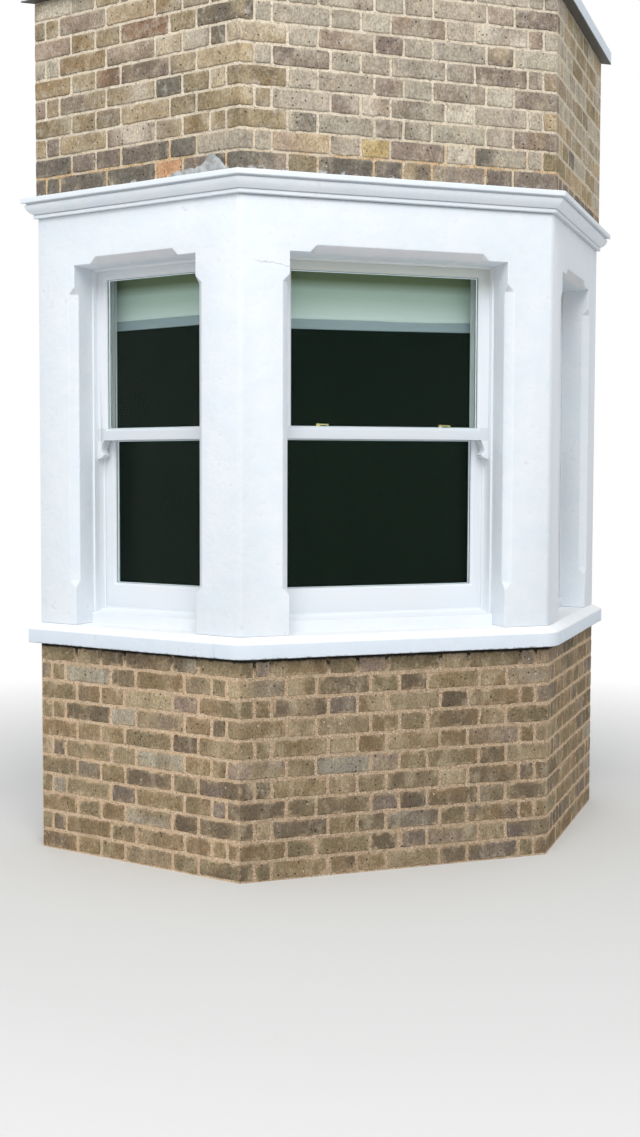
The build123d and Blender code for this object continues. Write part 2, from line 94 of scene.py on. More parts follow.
SILL_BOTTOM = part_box("sill_front")[0].z
SILL_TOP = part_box("sill_front")[1].z
OPENING_TOP = LINTEL[0].z
CORNICE_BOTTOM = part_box("cornice_front")[0].z
CORNICE_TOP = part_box("cornice_front")[1].z
UPPER_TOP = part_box("upper_wall_front")[1].z
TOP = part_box("upper_sill_front")[1].z
SILL_OUT = FRONT_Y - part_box("sill_front")[0].y
UPPER_SILL_OUT = FRONT_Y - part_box("upper_sill_front")[0].y
CORNICE_OUT = FRONT_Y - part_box("cornice_front")[0].y
SILL_NOSE = 57 * MM
SILL_RETURN = 90 * MM
CORNICE_FILLET = 20 * MM
CORNICE_NECK = 14 * MM
CORNICE_NECK_OUT = 14 * MM
CORNICE_OVERHANG = 12 * MM

# The bond, with a letter for each brick, from the bend to the house wall or to the other bend
LENGTHS = {"L": 184 * MM, "S": 223 * MM, "H": 118 * MM, "C": 66 * MM, "Q": 57 * MM}
FRONT_BOND = ("LHSHHSHL", "QCSHHSHSCQ")
SIDE_BONDS = {"base": ("QCHSHSCQ", "LHSHHL"), "upper": ("QCHHSSCQ", "LHSHHL")}
RETURN_BOND = ("H", "QC")
CUT_BOND = ("S", "HH")
COURSES_UP = {"base": 11, "upper": 10}


def srgb(red, green, blue):
    """A colour written as it looks on screen, from 0 to 255, as the linear values of light."""
    shown = np.array((red, green, blue)) / 255
    linear = np.where(shown > 0.04045, ((shown + 0.055) / 1.055) ** 2.4, shown / 12.92)
    return tuple(float(v) for v in linear)


def colour(name, description, *shown):
    """A colour setting."""
    return FloatVectorProperty(
        name=name, description=description, subtype="COLOR", size=3, min=0, max=1,
        default=srgb(*shown),
    )


def length(name, description, value):
    """A length setting."""
    return FloatProperty(
        name=name, description=description, unit="LENGTH", min=0, default=value, precision=4
    )


class BrickSettings(bpy.types.PropertyGroup):
    """Sizes and colours of the brickwork."""

    joint: length("Joint", "Width of a mortar joint", 10 * MM)
    base_joint: length("Base joint", "Width of the wider joints of the base", 12.5 * MM)
    ragged: length("Ragged", "How far a brick's outline strays", 1.6 * MM)
    base_ragged: length("Base ragged", "How far a base brick's outline strays", 2.6 * MM)
    corner: length("Corner", "Radius of a brick's corners", 6 * MM)
    arris: length("Arris", "Radius of a brick's worn edges", 4 * MM)
    base_recess: length("Base recess", "How far the base mortar lies behind the bricks", 3.6 * MM)
    upper_recess: length("Upper recess", "How far the upper mortar lies behind them", 5 * MM)
    right_recess: length("Right recess", "The same where the right face is pointed", 2 * MM)
    seed: IntProperty(name="Seed", description="Picks the bricks' tones", default=7)
    mortar: colour("Mortar", "Pale mortar of the upper wall", 226, 214, 194)
    base_mortar: colour("Base mortar", "Sandy mortar of the base", 212, 184, 152)
    stained_mortar: colour("Stained mortar", "Ochre mortar just above the cornice", 203, 170, 126)
    # The colour of the band under the sill: sooty grime and painted shade
    soot_and_shade: colour("Soot", "Grime under the sill and in the shade", 40, 36, 31)
    plaster: colour("Plaster", "Plaster inside the bay", 226, 222, 212)


class PaintSettings(bpy.types.PropertyGroup):
    """The white paint on stone and timber."""

    stone: colour("Stone paint", "Masonry paint", 235, 240, 245)
    sill: colour("Sill paint", "Masonry paint on the sills, a little bluer", 226, 234, 243)
    # The sills' tops: weathered paint, together with painted light on the faces that look up
    weathered_and_lit: colour("Washed paint", "The sills' weathered tops", 252, 253, 253)
    timber: colour("Timber paint", "Gloss paint on the sashes", 231, 236, 242)
    frame: colour("Frame paint", "Gloss paint on the box frames and timber sills", 238, 243, 248)
    cement: colour("Cement", "The patch at the foot of the upper wall", 192, 197, 198)
    dirt: colour("Dirt", "Grime in the paint", 120, 122, 116)
    stone_soft: length("Stone edges", "Radius of the painted stone's edges", 3.5 * MM)
    timber_soft: length("Timber edges", "Radius of the joinery's edges", 1.2 * MM)
    bend_soft: length("Bend", "How far from a bend its rounding starts", 8 * MM)
    sill_soft: length("Sill bend", "How far from a bend the sills' noses start to turn", 42 * MM)


class GlazingSettings(bpy.types.PropertyGroup):
    """The sealed units and the brass fasteners."""

    tint: colour("Tint", "Colour of the glass", 244, 250, 246)
    spacer: colour("Spacer", "The bar between the two sheets", 222, 236, 243)
    seal: colour("Seal", "The dark seal round the bar", 46, 54, 58)
    spacer_width: length("Spacer width", "Width of the bar", 2 * MM)
    seal_width: length("Seal width", "From the bar to the edge of the glass", 6.4 * MM)
    stop_width: length("Stop width", "How far the stops stand out from the staff beads", 18 * MM)
    left_stop_width: length("Left stop width", "The same for the left window's slim stops", 5 * MM)
    # Paler than brass: a painted highlight on the fasteners
    brass: colour("Brass", "The fasteners", 255, 240, 172)


class BlindSettings(bpy.types.PropertyGroup):
    """The roller blinds."""

    fabric: colour("Fabric", "Pale sage cloth", 212, 231, 222)
    lit_fabric: colour("Lit fabric", "The cloth near its hem, which is lit through", 242, 254, 255)
    roll_shade: colour("Roll", "The cloth rolled up in the shade of the frame", 122, 134, 92)
    hem: colour("Hem", "The grey-blue hem", 168, 184, 194)
    ripple: length("Ripple", "How far the cloth waves", 2.5 * MM)
    left_lift: length("Left lift", "How far the left blind is drawn up above the others", 19 * MM)
    lift: length("Lift", "How far every blind is drawn up", 2.5 * MM)
    tilt: length("Tilt", "How much higher a blind hangs at its right end", 7 * MM)


class StageSettings(bpy.types.PropertyGroup):
    """The studio that the bay stands in."""

    floor: colour("Floor", "Pale floor", 226, 226, 224)
    sky: FloatProperty(name="Sky", description="Strength of the light all round", default=0.57)
    lamp: FloatProperty(
        name="Lamp", description="Power of the large soft lamp", unit="POWER", default=620
    )


# Plan geometry
def outward(side):
    """The direction that a face looks in."""
    return np.array((sin(side * CANT), -cos(side * CANT), 0.0))


def rightward(side):
    """The direction to the right along a face, seen from the garden."""
    return np.array((cos(side * CANT), sin(side * CANT), 0.0))


def corner_plan(side, out):
    """The bend of the bay at a distance out: the front edge moves by out times tan(cant / 2)."""
    out = np.asarray(out, float)
    return np.stack((side * (FRONT_HALF + out * tan(CANT / 2)), FRONT_Y - out), axis=-1)


def side_plan(side, along, out):
    """A point of a side face: the corner, plus so far along the face, plus so far out."""
    along, out = np.asarray(along, float)[..., None], np.asarray(out, float)[..., None]
    return corner_plan(side, 0) + rightward(side)[:2] * side * along + outward(side)[:2] * out


def wall_plan(side, out):
    """Where a line at a distance out meets the face of the house wall."""
    out = np.asarray(out, float)
    return side_plan(side, (HOUSE_WALL_Y - FRONT_Y + out * cos(CANT)) / sin(CANT), out)


def inner_plan(side, y):
    """The point of a side wall's inner face at that y."""
    along = (y - FRONT_Y - WALL * cos(CANT)) / sin(CANT)
    return side_plan(side, along, -WALL)


def bend_plan(side, out, share, reach):
    """A quadratic curve round a bend, between the points that lie reach before and after it.
    The reach is a length, or a function that gives it for a distance out."""
    bend = corner_plan(side, out)
    far = np.broadcast_to(reach(out) if callable(reach) else reach, np.shape(out))[..., None]
    before = bend - np.array((side, 0)) * far
    after = bend + rightward(side)[:2] * side * far
    return (1 - share) ** 2 * before + 2 * share * (1 - share) * bend + share**2 * after


# Meshes
# The large sine of the noise: how fast it turns along each axis and for each seed, and its size
NOISE_TURNS = (127.1, 311.7, 74.7)
NOISE_SEED_TURN = 19.19
NOISE_SIZE = 43758.5453


def value_noise(points, cell, seed):
    """Smooth random values from -1 to 1: one value for each corner of a cubic lattice, from
    the fraction of a large sine, blended inside the cell by 3t^2 - 2t^3 along each axis."""
    scaled = np.asarray(points, float) / cell
    base = np.floor(scaled)
    share = scaled - base
    blend = share * share * (3 - 2 * share)
    total = np.zeros(scaled.shape[:-1])
    for corner in np.ndindex(2, 2, 2):
        mixed = np.sin((base + corner) @ NOISE_TURNS + seed * NOISE_SEED_TURN) * NOISE_SIZE
        value = 2 * (mixed - np.floor(mixed)) - 1
        weight = np.prod(np.where(np.array(corner) == 1, blend, 1 - blend), axis=-1)
        total += value * weight
    return total


def grid_faces(rows, columns, closed=False):
    """The four-sided faces of a grid whose points are numbered row by row."""
    across = np.arange(columns if closed else columns - 1)
    row, column = np.meshgrid(np.arange(rows - 1), across, indexing="ij")
    following = (column + 1) % columns
    corners = (row * columns + column, row * columns + following)
    above = ((row + 1) * columns + following, (row + 1) * columns + column)
    return np.stack((*corners, *above), axis=-1).reshape(-1, 4)


def linked(name, data):
    """A new object with that mesh, lamp or camera, in the scene."""
    made = bpy.data.objects.new(name, data)
    bpy.context.scene.collection.objects.link(made)
    return made


def new_piece(name, points, faces, materials, slot, smooth=True):
    """An object at the origin with that mesh, which rides on the root. The slot is not used."""
    mesh = bpy.data.meshes.new(name)
    corners = [list(face) for face in faces]
    mesh.from_pydata(np.asarray(points).reshape(-1, 3).tolist(), [], corners)
    mesh.polygons.foreach_set("use_smooth", np.full(len(mesh.polygons), smooth))
    mesh.update()
    for material in materials:
        mesh.materials.append(material)
    piece = linked(name, mesh)
    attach(piece, "root")
    return piece


def closed_piece(name, points, faces, materials, slot, angle=None):
    """A new piece whose faces are turned outwards. It is shaded smooth, apart from edges
    sharper than the angle in degrees, or flat where no angle is given."""
    piece = new_piece(name, points, faces, materials, slot, smooth=angle is not None)
    outward_normals(piece)
    if angle is not None:
        smooth_by_angle(piece, angle)
    return piece


def joined_parts(parts):
    """Parts, each with its points and faces, made into one mesh: the faces of a part count on
    from the points before it."""
    points, faces, count = [], [], 0
    for made, made_faces in parts:
        made = made.reshape(-1, 3)
        points.append(made)
        faces += [[int(index) + count for index in face] for face in made_faces]
        count += len(made)
    return np.concatenate(points), faces


def raised(plan, heights):
    """A plan outline repeated at each of the heights, as one row of points for each."""
    plans = np.broadcast_to(plan, (len(heights), *np.shape(plan)))
    levels = np.broadcast_to(np.reshape(heights, (-1, 1, 1)), (*plans.shape[:2], 1))
    return np.concatenate((plans, levels), axis=-1)


def carried(outline, stations):
    """An outline of (out, height) points carried along a path. Each station gives the plan
    points for an array of distances out, and the height stays as it is in the outline."""
    plans = np.array([station(outline[:, 0]) for station in stations])
    heights = np.broadcast_to(outline[:, 1], plans.shape[:2])[..., None]
    return np.concatenate((plans, heights), axis=-1)


def shell_faces(rows, columns):
    """The faces of a closed tube of rows and columns, with a face over each end."""
    skin = grid_faces(rows, columns, closed=True)[:, ::-1].tolist()
    first = list(range(columns))
    last = [(rows - 1) * columns + index for index in reversed(range(columns))]
    return [*skin, first, last]


def outward_normals(piece):
    """Turns the faces of a closed mesh outwards."""
    shape = bmesh.new()
    shape.from_mesh(piece.data)
    bmesh.ops.recalc_face_normals(shape, faces=shape.faces)
    shape.to_mesh(piece.data)
    shape.free()


def rounded(outline, radii, steps=4):
    """A closed outline whose corners are quadratic curves between points a radius away."""
    outline = np.asarray(outline, float)
    shares = np.linspace(0, 1, steps + 1)[:, None]
    parts = []
    for index, radius in enumerate(radii):
        corner = outline[index]
        if radius == 0:
            parts.append(corner[None])
            continue
        to_last = outline[index - 1] - corner
        to_next = outline[(index + 1) % len(outline)] - corner
        start = corner + to_last / np.linalg.norm(to_last) * radius
        end = corner + to_next / np.linalg.norm(to_next) * radius
        curve = 2 * shares * (1 - shares) * corner + shares**2 * end
        parts.append((1 - shares) ** 2 * start + curve)
    return np.concatenate(parts)


def smooth_by_angle(piece, degrees):
    """Shades a piece smooth, apart from edges sharper than the angle."""
    shape = bmesh.new()
    shape.from_mesh(piece.data)
    for edge in shape.edges:
        edge.smooth = len(edge.link_faces) == 2 and edge.calc_face_angle(0) < radians(degrees)
    shape.to_mesh(piece.data)
    shape.free()
    piece.data.polygons.foreach_set("use_smooth", np.full(len(piece.data.polygons), True))


# How near two points are before they are merged, and how flat an edge is before it goes
MERGE_DISTANCE = 0.02 * MM
FLAT_ANGLE = radians(0.5)


def merged_and_flat(shape, distance):
    """Merges a mesh's doubled points and dissolves the edges inside its flat faces."""
    bmesh.ops.remove_doubles(shape, verts=shape.verts, dist=distance)
    bmesh.ops.dissolve_limit(
        shape, angle_limit=FLAT_ANGLE, verts=shape.verts, edges=shape.edges
    )


def merged_node(node):
    """A copy of a node's mesh with its loose triangles joined and its flat faces whole."""
    shape = bmesh.new()
    shape.from_mesh(frame["nodes"][node].data)
    merged_and_flat(shape, MERGE_DISTANCE)
    mesh = bpy.data.meshes.new(node)
    shape.to_mesh(mesh)
    shape.free()
    return mesh


def soften(piece, radius, degrees=28, segments=3):
    """Rounds the sharp edges of a piece by a radius."""
    bevel = piece.modifiers.new("soft edges", "BEVEL")
    bevel.width = radius
    bevel.segments = segments
    bevel.limit_method = "ANGLE"
    bevel.angle_limit = radians(degrees)
    bevel.harden_normals = True
    piece.data.polygons.foreach_set("use_smooth", np.full(len(piece.data.polygons), True))


def standing_piece(name, mesh, material, radius, nodes):
    """A piece with that mesh and softly rounded edges, which stands for the nodes."""
    mesh.name = name
    mesh.materials.clear()
    mesh.materials.append(material)
    piece = linked(name, mesh)
    soften(piece, radius)
    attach(piece, "root")
    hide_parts(*nodes)
    return piece


# Materials
class Shader:
    """A material that is being built: its nodes, its links and its main shader."""

    def __init__(self, name):
        self.material = bpy.data.materials.new(name)
        self.material.use_nodes = True
        self.tree = self.material.node_tree
        self.main = self.tree.nodes["Principled BSDF"]
        self.place = self.add("ShaderNodeTexCoord").outputs["Object"]

    def add(self, kind, **values):
        """A new node with those settings."""
        node = self.tree.nodes.new(kind)
        for key, value in values.items():
            setattr(node, key, value)
        return node

    def join(self, source, target):
        """Joins an output to an input, or sets the input to a plain value."""
        if isinstance(source, bpy.types.NodeSocket):
            self.tree.links.new(source, target)
        else:
            target.default_value = source

    def set(self, **values):
        """Plain values on the main shader, with spaces in their names written as _."""
        for key, value in values.items():
            self.main.inputs[key.replace("_", " ")].default_value = value

    def noise(self, scale, detail=4.0, roughness=0.6, stretch=None):
        """A noise pattern on the object's own coordinates."""
        node = self.add("ShaderNodeTexNoise")
        node.inputs["Scale"].default_value = scale
        node.inputs["Detail"].default_value = detail
        node.inputs["Roughness"].default_value = roughness
        if stretch is None:
            self.join(self.place, node.inputs["Vector"])
        else:
            mapping = self.add("ShaderNodeMapping")
            mapping.inputs["Scale"].default_value = stretch
            self.join(self.place, mapping.inputs["Vector"])
            self.join(mapping.outputs["Vector"], node.inputs["Vector"])
        return node.outputs["Fac"]

    def between(self, value, low, high, to_low=0.0, to_high=1.0):
        """A value carried from one range to another, and held at its ends."""
        node = self.add("ShaderNodeMapRange")
        node.clamp = True
        self.join(value, node.inputs["Value"])
        ends = {"From Min": low, "From Max": high, "To Min": to_low, "To Max": to_high}
        for key, number in ends.items():
            node.inputs[key].default_value = number
        return node.outputs["Result"]

    def maths(self, operation, first, second=0.0):
        """One step of arithmetic on one or two values."""
        node = self.add("ShaderNodeMath", operation=operation)
        self.join(first, node.inputs[0])
        self.join(second, node.inputs[1])
        return node.outputs[0]

    def product(self, first, *others):
        """Values multiplied by each other."""
        for other in others:
            first = self.maths("MULTIPLY", first, other)
        return first

    def mix(self, share, first, second, blend="MIX"):
        """A mix of two colours."""
        node = self.add("ShaderNodeMix", data_type="RGBA", blend_type=blend)
        self.join(share, node.inputs[0])
        for source, socket in ((first, node.inputs[6]), (second, node.inputs[7])):
            self.join(source if isinstance(source, bpy.types.NodeSocket) else (*source, 1), socket)
        return node.outputs[2]

    def axis(self, letter, vector=None):
        """One coordinate of the place, or of another vector."""
        split = self.add("ShaderNodeSeparateXYZ")
        self.join(self.place if vector is None else vector, split.inputs[0])
        return split.outputs[letter]

    def height(self):
        """The height above the ground."""
        return self.axis("Z")

    def slope(self):
        """How far the surface looks up, from -1 to 1."""
        return self.axis("Z", self.add("ShaderNodeNewGeometry").outputs["Normal"])

    def bump(self, value, distance, strength=1.0, below=None):
        """Relief of that depth, on top of another relief."""
        node = self.add("ShaderNodeBump")
        node.inputs["Strength"].default_value = strength
        node.inputs["Distance"].default_value = distance
        self.join(value, node.inputs["Height"])
        if below is not None:
            self.join(below, node.inputs["Normal"])
        return node.outputs["Normal"]

    def finish(self, colour=None, normal=None, roughness=None):
        """Joins the patterns to the main shader."""
        for source, key in ((colour, "Base Color"), (normal, "Normal"), (roughness, "Roughness")):
            if source is not None:
                self.join(source, self.main.inputs[key])
        return self.material

    def finish_mixed(self, share, other):
        """Mixes the main shader with another one by that share."""
        mixed = self.add("ShaderNodeMixShader")
        self.join(share, mixed.inputs[0])
        self.join(self.main.outputs[0], mixed.inputs[1])
        self.join(other.outputs[0], mixed.inputs[2])
        self.join(mixed.outputs[0], self.tree.nodes["Material Output"].inputs["Surface"])
        return self.material


def sooted_and_shaded(shader, plain, soot_and_shade, full, none, above=False):
    """A colour darkened in a band of height, whose far edge is ragged: sooty grime and painted
    shade under a sill. The darkening is thick at one height and ends at another, and it leaves
    alone what stands above the sill, unless the band itself is above it."""
    ragged = shader.between(shader.noise(38, 4, 0.7), 0.3, 0.7, -0.5, 0.5)
    height = shader.maths("ADD", shader.height(), shader.product(ragged, abs(none - full)))
    reach = shader.between(height, none, full)
    if not above:
        reach = shader.product(reach, shader.maths("LESS_THAN", shader.height(), SILL_TOP))
    return shader.mix(reach, plain, soot_and_shade)


def brick_material(name, soot_and_shade, paint):
    """Stock brick: each brick's own tone, clouded, grained, pitted and flecked with lime. Sooty
    grime and painted shade gather under the sill, and the painter's brush has caught the lowest
    bricks."""
    shader = Shader(name)
    tone = shader.add("ShaderNodeAttribute", attribute_name="tone").outputs["Color"]
    clouds = shader.noise(13, 6, 0.7, stretch=(1.3, 1.3, 0.7))
    grain = shader.noise(120, 9, 0.85, stretch=(1.2, 1.2, 0.8))
    blotches = shader.noise(48, 6, 0.75)
    pits = shader.add("ShaderNodeTexVoronoi")
    pits.inputs["Scale"].default_value = 62
    shader.join(shader.place, pits.inputs["Vector"])
    chance = shader.add("ShaderNodeSeparateColor")
    shader.join(pits.outputs["Color"], chance.inputs[0])
    near = shader.between(pits.outputs["Distance"], 0.26, 0.16)
    pitted = shader.product(near, shader.between(chance.outputs["Red"], 0.8, 0.82))
    flecked = shader.product(near, shader.between(chance.outputs["Red"], 0.05, 0.03))
    pale = shader.mix(shader.between(clouds, 0.5, 0.72, 0, 0.5), tone, srgb(206, 192, 166))
    dark = shader.mix(shader.between(clouds, 0.48, 0.28, 0, 0.55), pale, srgb(92, 82, 70))
    warm = shader.mix(shader.between(blotches, 0.56, 0.7, 0, 0.4), dark, srgb(170, 128, 92))
    shaded = shader.mix(shader.between(blotches, 0.44, 0.3, 0, 0.5), warm, srgb(84, 76, 66))
    depth = shader.mix(shader.between(grain, 0.38, 0.62), (0.52, 0.51, 0.49), (1.46, 1.45, 1.42))
    grained = shader.mix(1.0, shaded, depth, "MULTIPLY")
    high = shader.between(shader.height(), CORNICE_TOP + 0.14, CORNICE_TOP + 0.17, 0.25, 1.0)
    upper = shader.product(high, shader.maths("GREATER_THAN", shader.height(), CORNICE_TOP))
    bloom = shader.between(shader.noise(27, 5, 0.8), 0.52, 0.66, 0, 0.42)
    bloomed = shader.mix(shader.product(upper, bloom), grained, srgb(214, 207, 195))
    marked = shader.mix(shader.product(pitted, 0.85), bloomed, srgb(48, 42, 36))
    marked = shader.mix(shader.product(flecked, 0.6), marked, srgb(226, 216, 200))
    # painted shade and sooty grime in a ragged band just under the sill
    sooty = sooted_and_shaded(shader, marked, soot_and_shade, SILL_BOTTOM - 12 * MM, SILL_BOTTOM - 19 * MM)
    brush = shader.between(shader.noise(24, 5, 0.75), 0.55, 0.6)
    low = shader.between(shader.height(), CORNICE_TOP + 26 * MM, CORNICE_TOP + 4 * MM)
    above = shader.maths("GREATER_THAN", shader.height(), CORNICE_TOP - 1 * MM)
    painted = shader.mix(shader.product(above, low, brush, 0.8), sooty, paint)
    relief = shader.bump(grain, 2.2 * MM, 0.8)
    relief = shader.bump(shader.maths("SUBTRACT", 1.0, pitted), 2 * MM, 0.7, relief)
    shader.set(Roughness=0.92, Specular_IOR_Level=0.25)
    return shader.finish(painted, relief)


def mortar_material(name, plain, stained, stain_top, soot_and_shade):
    """Sandy mortar, stained up to a height, with sooty grime and painted shade close under the
    sill.
    """
    shader = Shader(name)
    grit = shader.noise(210, 8, 0.85)
    lumps = shader.noise(95, 4, 0.65)
    clouds = shader.noise(9, 4, 0.6)
    depth = shader.mix(shader.between(grit, 0.38, 0.62), (0.62, 0.6, 0.57), (1.3, 1.29, 1.27))
    sandy = shader.mix(1.0, plain, depth, "MULTIPLY")
    reach = shader.between(shader.height(), stain_top + 10 * MM, stain_top - 30 * MM)
    patchy = shader.product(reach, shader.between(clouds, 0.42, 0.58, 0.1, 0.95))
    coloured = shader.mix(patchy, sandy, shader.mix(1.0, stained, depth, "MULTIPLY"))
    grimy = shader.mix(shader.between(lumps, 0.46, 0.32, 0, 0.75), coloured, srgb(104, 90, 72))
    grains = shader.between(shader.noise(150, 3, 0.6), 0.53, 0.6, 0, 0.5)
    bright = shader.mix(grains, grimy, srgb(240, 228, 210))
    dim = shader.mix(shader.between(clouds, 0.5, 0.25, 0, 0.35), bright, srgb(128, 114, 96))
    # painted shade and sooty grime in a ragged band just under the sill
    sooty = sooted_and_shaded(shader, dim, soot_and_shade, SILL_BOTTOM - 14 * MM, SILL_BOTTOM - 60 * MM)
    relief = shader.bump(grit, 1.6 * MM, 0.9)
    relief = shader.bump(lumps, 3 * MM, 0.6, relief)
    shader.set(Roughness=0.95, Specular_IOR_Level=0.2)
    return shader.finish(sooty, relief)


def plaster_material(name, plain, shade, cloud, strength):
    """Flat plaster or cement with float marks of that scale and strength, and fine sand."""
    shader = Shader(name)
    marks = shader.noise(cloud, 5, 0.6)
    sand = shader.noise(190, 4, 0.7)
    tinted = shader.mix(shader.between(marks, 0.4, 0.62, 0, strength), plain, shade)
    tinted = shader.mix(shader.between(sand, 0.48, 0.62, 0, 0.3), tinted, shade)
    relief = shader.bump(marks, 2 * MM, 0.3)
    relief = shader.bump(sand, 0.4 * MM, 0.4, relief)
    shader.set(Roughness=0.85)
    return shader.finish(tinted, relief)


# How the chamfers of the lintels look down, from the first slope to the last, and their painted
# shade
CHAMFER_SLOPES = (-0.3, -0.6, -0.85, -0.97)
CHAMFER_SHADE = (0.84, 0.8, 0.78)
# The crack in the paint: its distances from the left bend where it starts, is full, thins and
# ends, its drop below the opening's top at the bend, its slope, wander, width and strength
CRACK_ALONG = (0.03, 0.09, 0.19, 0.24)
CRACK_DROP = 30 * MM
CRACK_SLOPE = 0.14
CRACK_WANDER = 9 * MM
CRACK_WIDTH = (0.5 * MM, 1.6 * MM)
CRACK_STRENGTH = 0.55


def crack_in_paint(shader):
    """Where the fine crack lies: near a line that falls away from the bend and wanders."""
    from_bend = shader.maths("ADD", shader.axis("X"), FRONT_HALF)
    wander = shader.between(shader.noise(16, 6, 0.7), 0.3, 0.7, -CRACK_WANDER, CRACK_WANDER)
    fall = shader.product(from_bend, CRACK_SLOPE)
    line = shader.maths("SUBTRACT", OPENING_TOP - CRACK_DROP, fall)
    away = shader.maths("SUBTRACT", shader.height(), shader.maths("ADD", line, wander))
    narrow, wide = CRACK_WIDTH
    near = shader.between(shader.maths("ABSOLUTE", away), wide, narrow)
    start, full, thins, end = CRACK_ALONG
    along = shader.product(
        shader.between(from_bend, start, full), shader.between(from_bend, end, thins)
    )
    on_face = shader.maths("LESS_THAN", shader.axis("Y"), FRONT_Y + 4 * MM)
    return shader.product(near, along, on_face, CRACK_STRENGTH)


def stone_paint_material(name, plain, dirt, weathered_and_lit=None, soot_and_shade_under=None, seam_grime_and_shade=(), surround=False):
    """Masonry paint: rolled stipple over hand-floated render, with faint grime in the lows. Faces
    that look up turn to a weathered colour, where one is given: weathering and painted light on
    the tops. A ragged dark line of sooty grime and painted shade runs along the foot of a sill, and
    grime with painted shade lies along the seam lines of a moulding; a seam is a height and half a
    width. On the surround the chamfers of the lintels, which look down, are greyer with painted
    shade, and a fine crack wanders from the left bend to the front window."""
    shader = Shader(name)
    float_marks = shader.noise(11, 5, 0.6)
    stipple = shader.noise(120, 5, 0.65)
    lumps = shader.noise(48, 3, 0.5)
    spots = shader.noise(19, 2, 0.4)
    # faces that look up turn to the lighter colour: weathering and painted light from above
    if weathered_and_lit is not None:
        plain = shader.mix(shader.between(shader.slope(), 0.1, 0.5), plain, weathered_and_lit)
    cool = shader.mix(1.0, plain, (0.9, 0.94, 0.985), "MULTIPLY")
    shade = shader.mix(shader.between(float_marks, 0.32, 0.68, 0, 0.6), plain, cool)
    in_lumps, in_lows = shader.between(lumps, 0.4, 0.27), shader.between(float_marks, 0.5, 0.34)
    grimy = shader.mix(shader.product(in_lumps, in_lows, 0.18), shade, dirt)
    grimy = shader.mix(shader.between(spots, 0.2, 0.17, 0, 0.35), grimy, dirt)
    # a ragged band of sooty grime and painted shade along the foot of a sill: the dark line of the
    # lower sill and the shaded underside of the upper sill
    if soot_and_shade_under is not None:
        above = soot_and_shade_under > SILL_TOP
        full, none = (2, 6) if above else (-3, 5)
        band = (soot_and_shade_under + full * MM, soot_and_shade_under + none * MM)
        grimy = sooted_and_shaded(shader, grimy, srgb(84, 80, 74), *band, above)
    if surround:
        # painted shade on the chamfers that look down
        start, full, last, end = CHAMFER_SLOPES
        slope = shader.slope()
        chamfer_shade = shader.product(
            shader.between(slope, start, full), shader.between(slope, end, last)
        )
        grimy = shader.mix(chamfer_shade, grimy, shader.mix(1.0, grimy, CHAMFER_SHADE, "MULTIPLY"))
        grimy = shader.mix(crack_in_paint(shader), grimy, dirt)
    # grime and painted shade along each seam line of the moulding
    for height, reach in seam_grime_and_shade:
        away = shader.maths("ABSOLUTE", shader.maths("SUBTRACT", shader.height(), height))
        grimy = shader.mix(shader.between(away, reach, 0.3 * reach, 0, 0.25), grimy, dirt)
    relief = shader.bump(float_marks, 9 * MM, 0.5)
    relief = shader.bump(lumps, 2.2 * MM, 0.45, relief)
    relief = shader.bump(stipple, 1.1 * MM, 0.5, relief)
    shader.set(Roughness=0.55, Specular_IOR_Level=0.35)
    return shader.finish(grimy, relief)


# How far below the opening's top the painted shade of the head starts and is full, and its tint
HEAD_SHADE = (0.13, 0.06)
HEAD_SHADE_TINT = (0.77, 0.77, 0.67)
# The meeting rail's height, and the tint of the painted shade on it
MEETING_RAIL = 46 * MM
MEETING_SHADE_TINT = (0.76, 0.78, 0.8)


def timber_paint_material(name, plain, head_shade_share, meeting_shade_share):
    """Gloss paint with faint brush marks along the work, greyer with painted shade by a share under
    the head and by another on the meeting rail. Under the head of the left window the painted shade
    is lighter, as more light reaches there."""
    shader = Shader(name)
    brush = shader.noise(90, 3, 0.5, stretch=(1.0, 1.0, 0.06))
    cloud = shader.noise(7, 3, 0.5)
    shade = shader.mix(shader.between(cloud, 0.3, 0.7, 0, 0.3), plain, srgb(230, 232, 233))
    # the tint of the painted shade under the head
    warm = shader.mix(1.0, shade, HEAD_SHADE_TINT, "MULTIPLY")
    start, full = (OPENING_TOP - below for below in HEAD_SHADE)
    under_head = shader.between(shader.height(), start, full, 0, head_shade_share)
    past_bend = shader.between(shader.axis("X"), -FRONT_HALF - 1 * MM, -FRONT_HALF, 0.2, 1.0)
    shade = shader.mix(shader.product(under_head, past_bend), shade, warm)
    # painted shade on the front of the meeting rail
    rail_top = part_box("bottom_sash_front")[1].z
    foot = rail_top - MEETING_RAIL
    above = shader.between(shader.height(), foot - 4 * MM, foot, 0, meeting_shade_share)
    meeting_shade_mask = shader.product(above, shader.between(shader.height(), rail_top + 4 * MM, rail_top))
    shade = shader.mix(meeting_shade_mask, shade, shader.mix(1.0, shade, MEETING_SHADE_TINT, "MULTIPLY"))
    relief = shader.bump(brush, 0.25 * MM, 0.35)
    shader.set(Roughness=0.3, Specular_IOR_Level=0.45, Coat_Weight=0.15)
    return shader.finish(shade, relief)


def glass_material(tint):
    """Clear glass with a faint tint and the slight waves of a large pane. Its dark green specular
    tint is a painted reflection, which dims and greens what the glass reflects.
    """
    shader = Shader("window_glass")
    waves = shader.noise(3, 2, 0.4)
    relief = shader.bump(waves, 2 * MM, 0.1)
    shader.main.inputs["Base Color"].default_value = (*tint, 1)
    # painted reflection: a dark green specular tint for the greenery in front of the windows
    shader.main.inputs["Specular Tint"].default_value = (0.17, 0.31, 0.23, 1)
    shader.set(Roughness=0.01, IOR=1.35, Transmission_Weight=1.0)
    return shader.finish(normal=relief)


def scaled(plain, share):
    """A colour made darker or lighter by a share."""
    return tuple(share * v for v in plain)


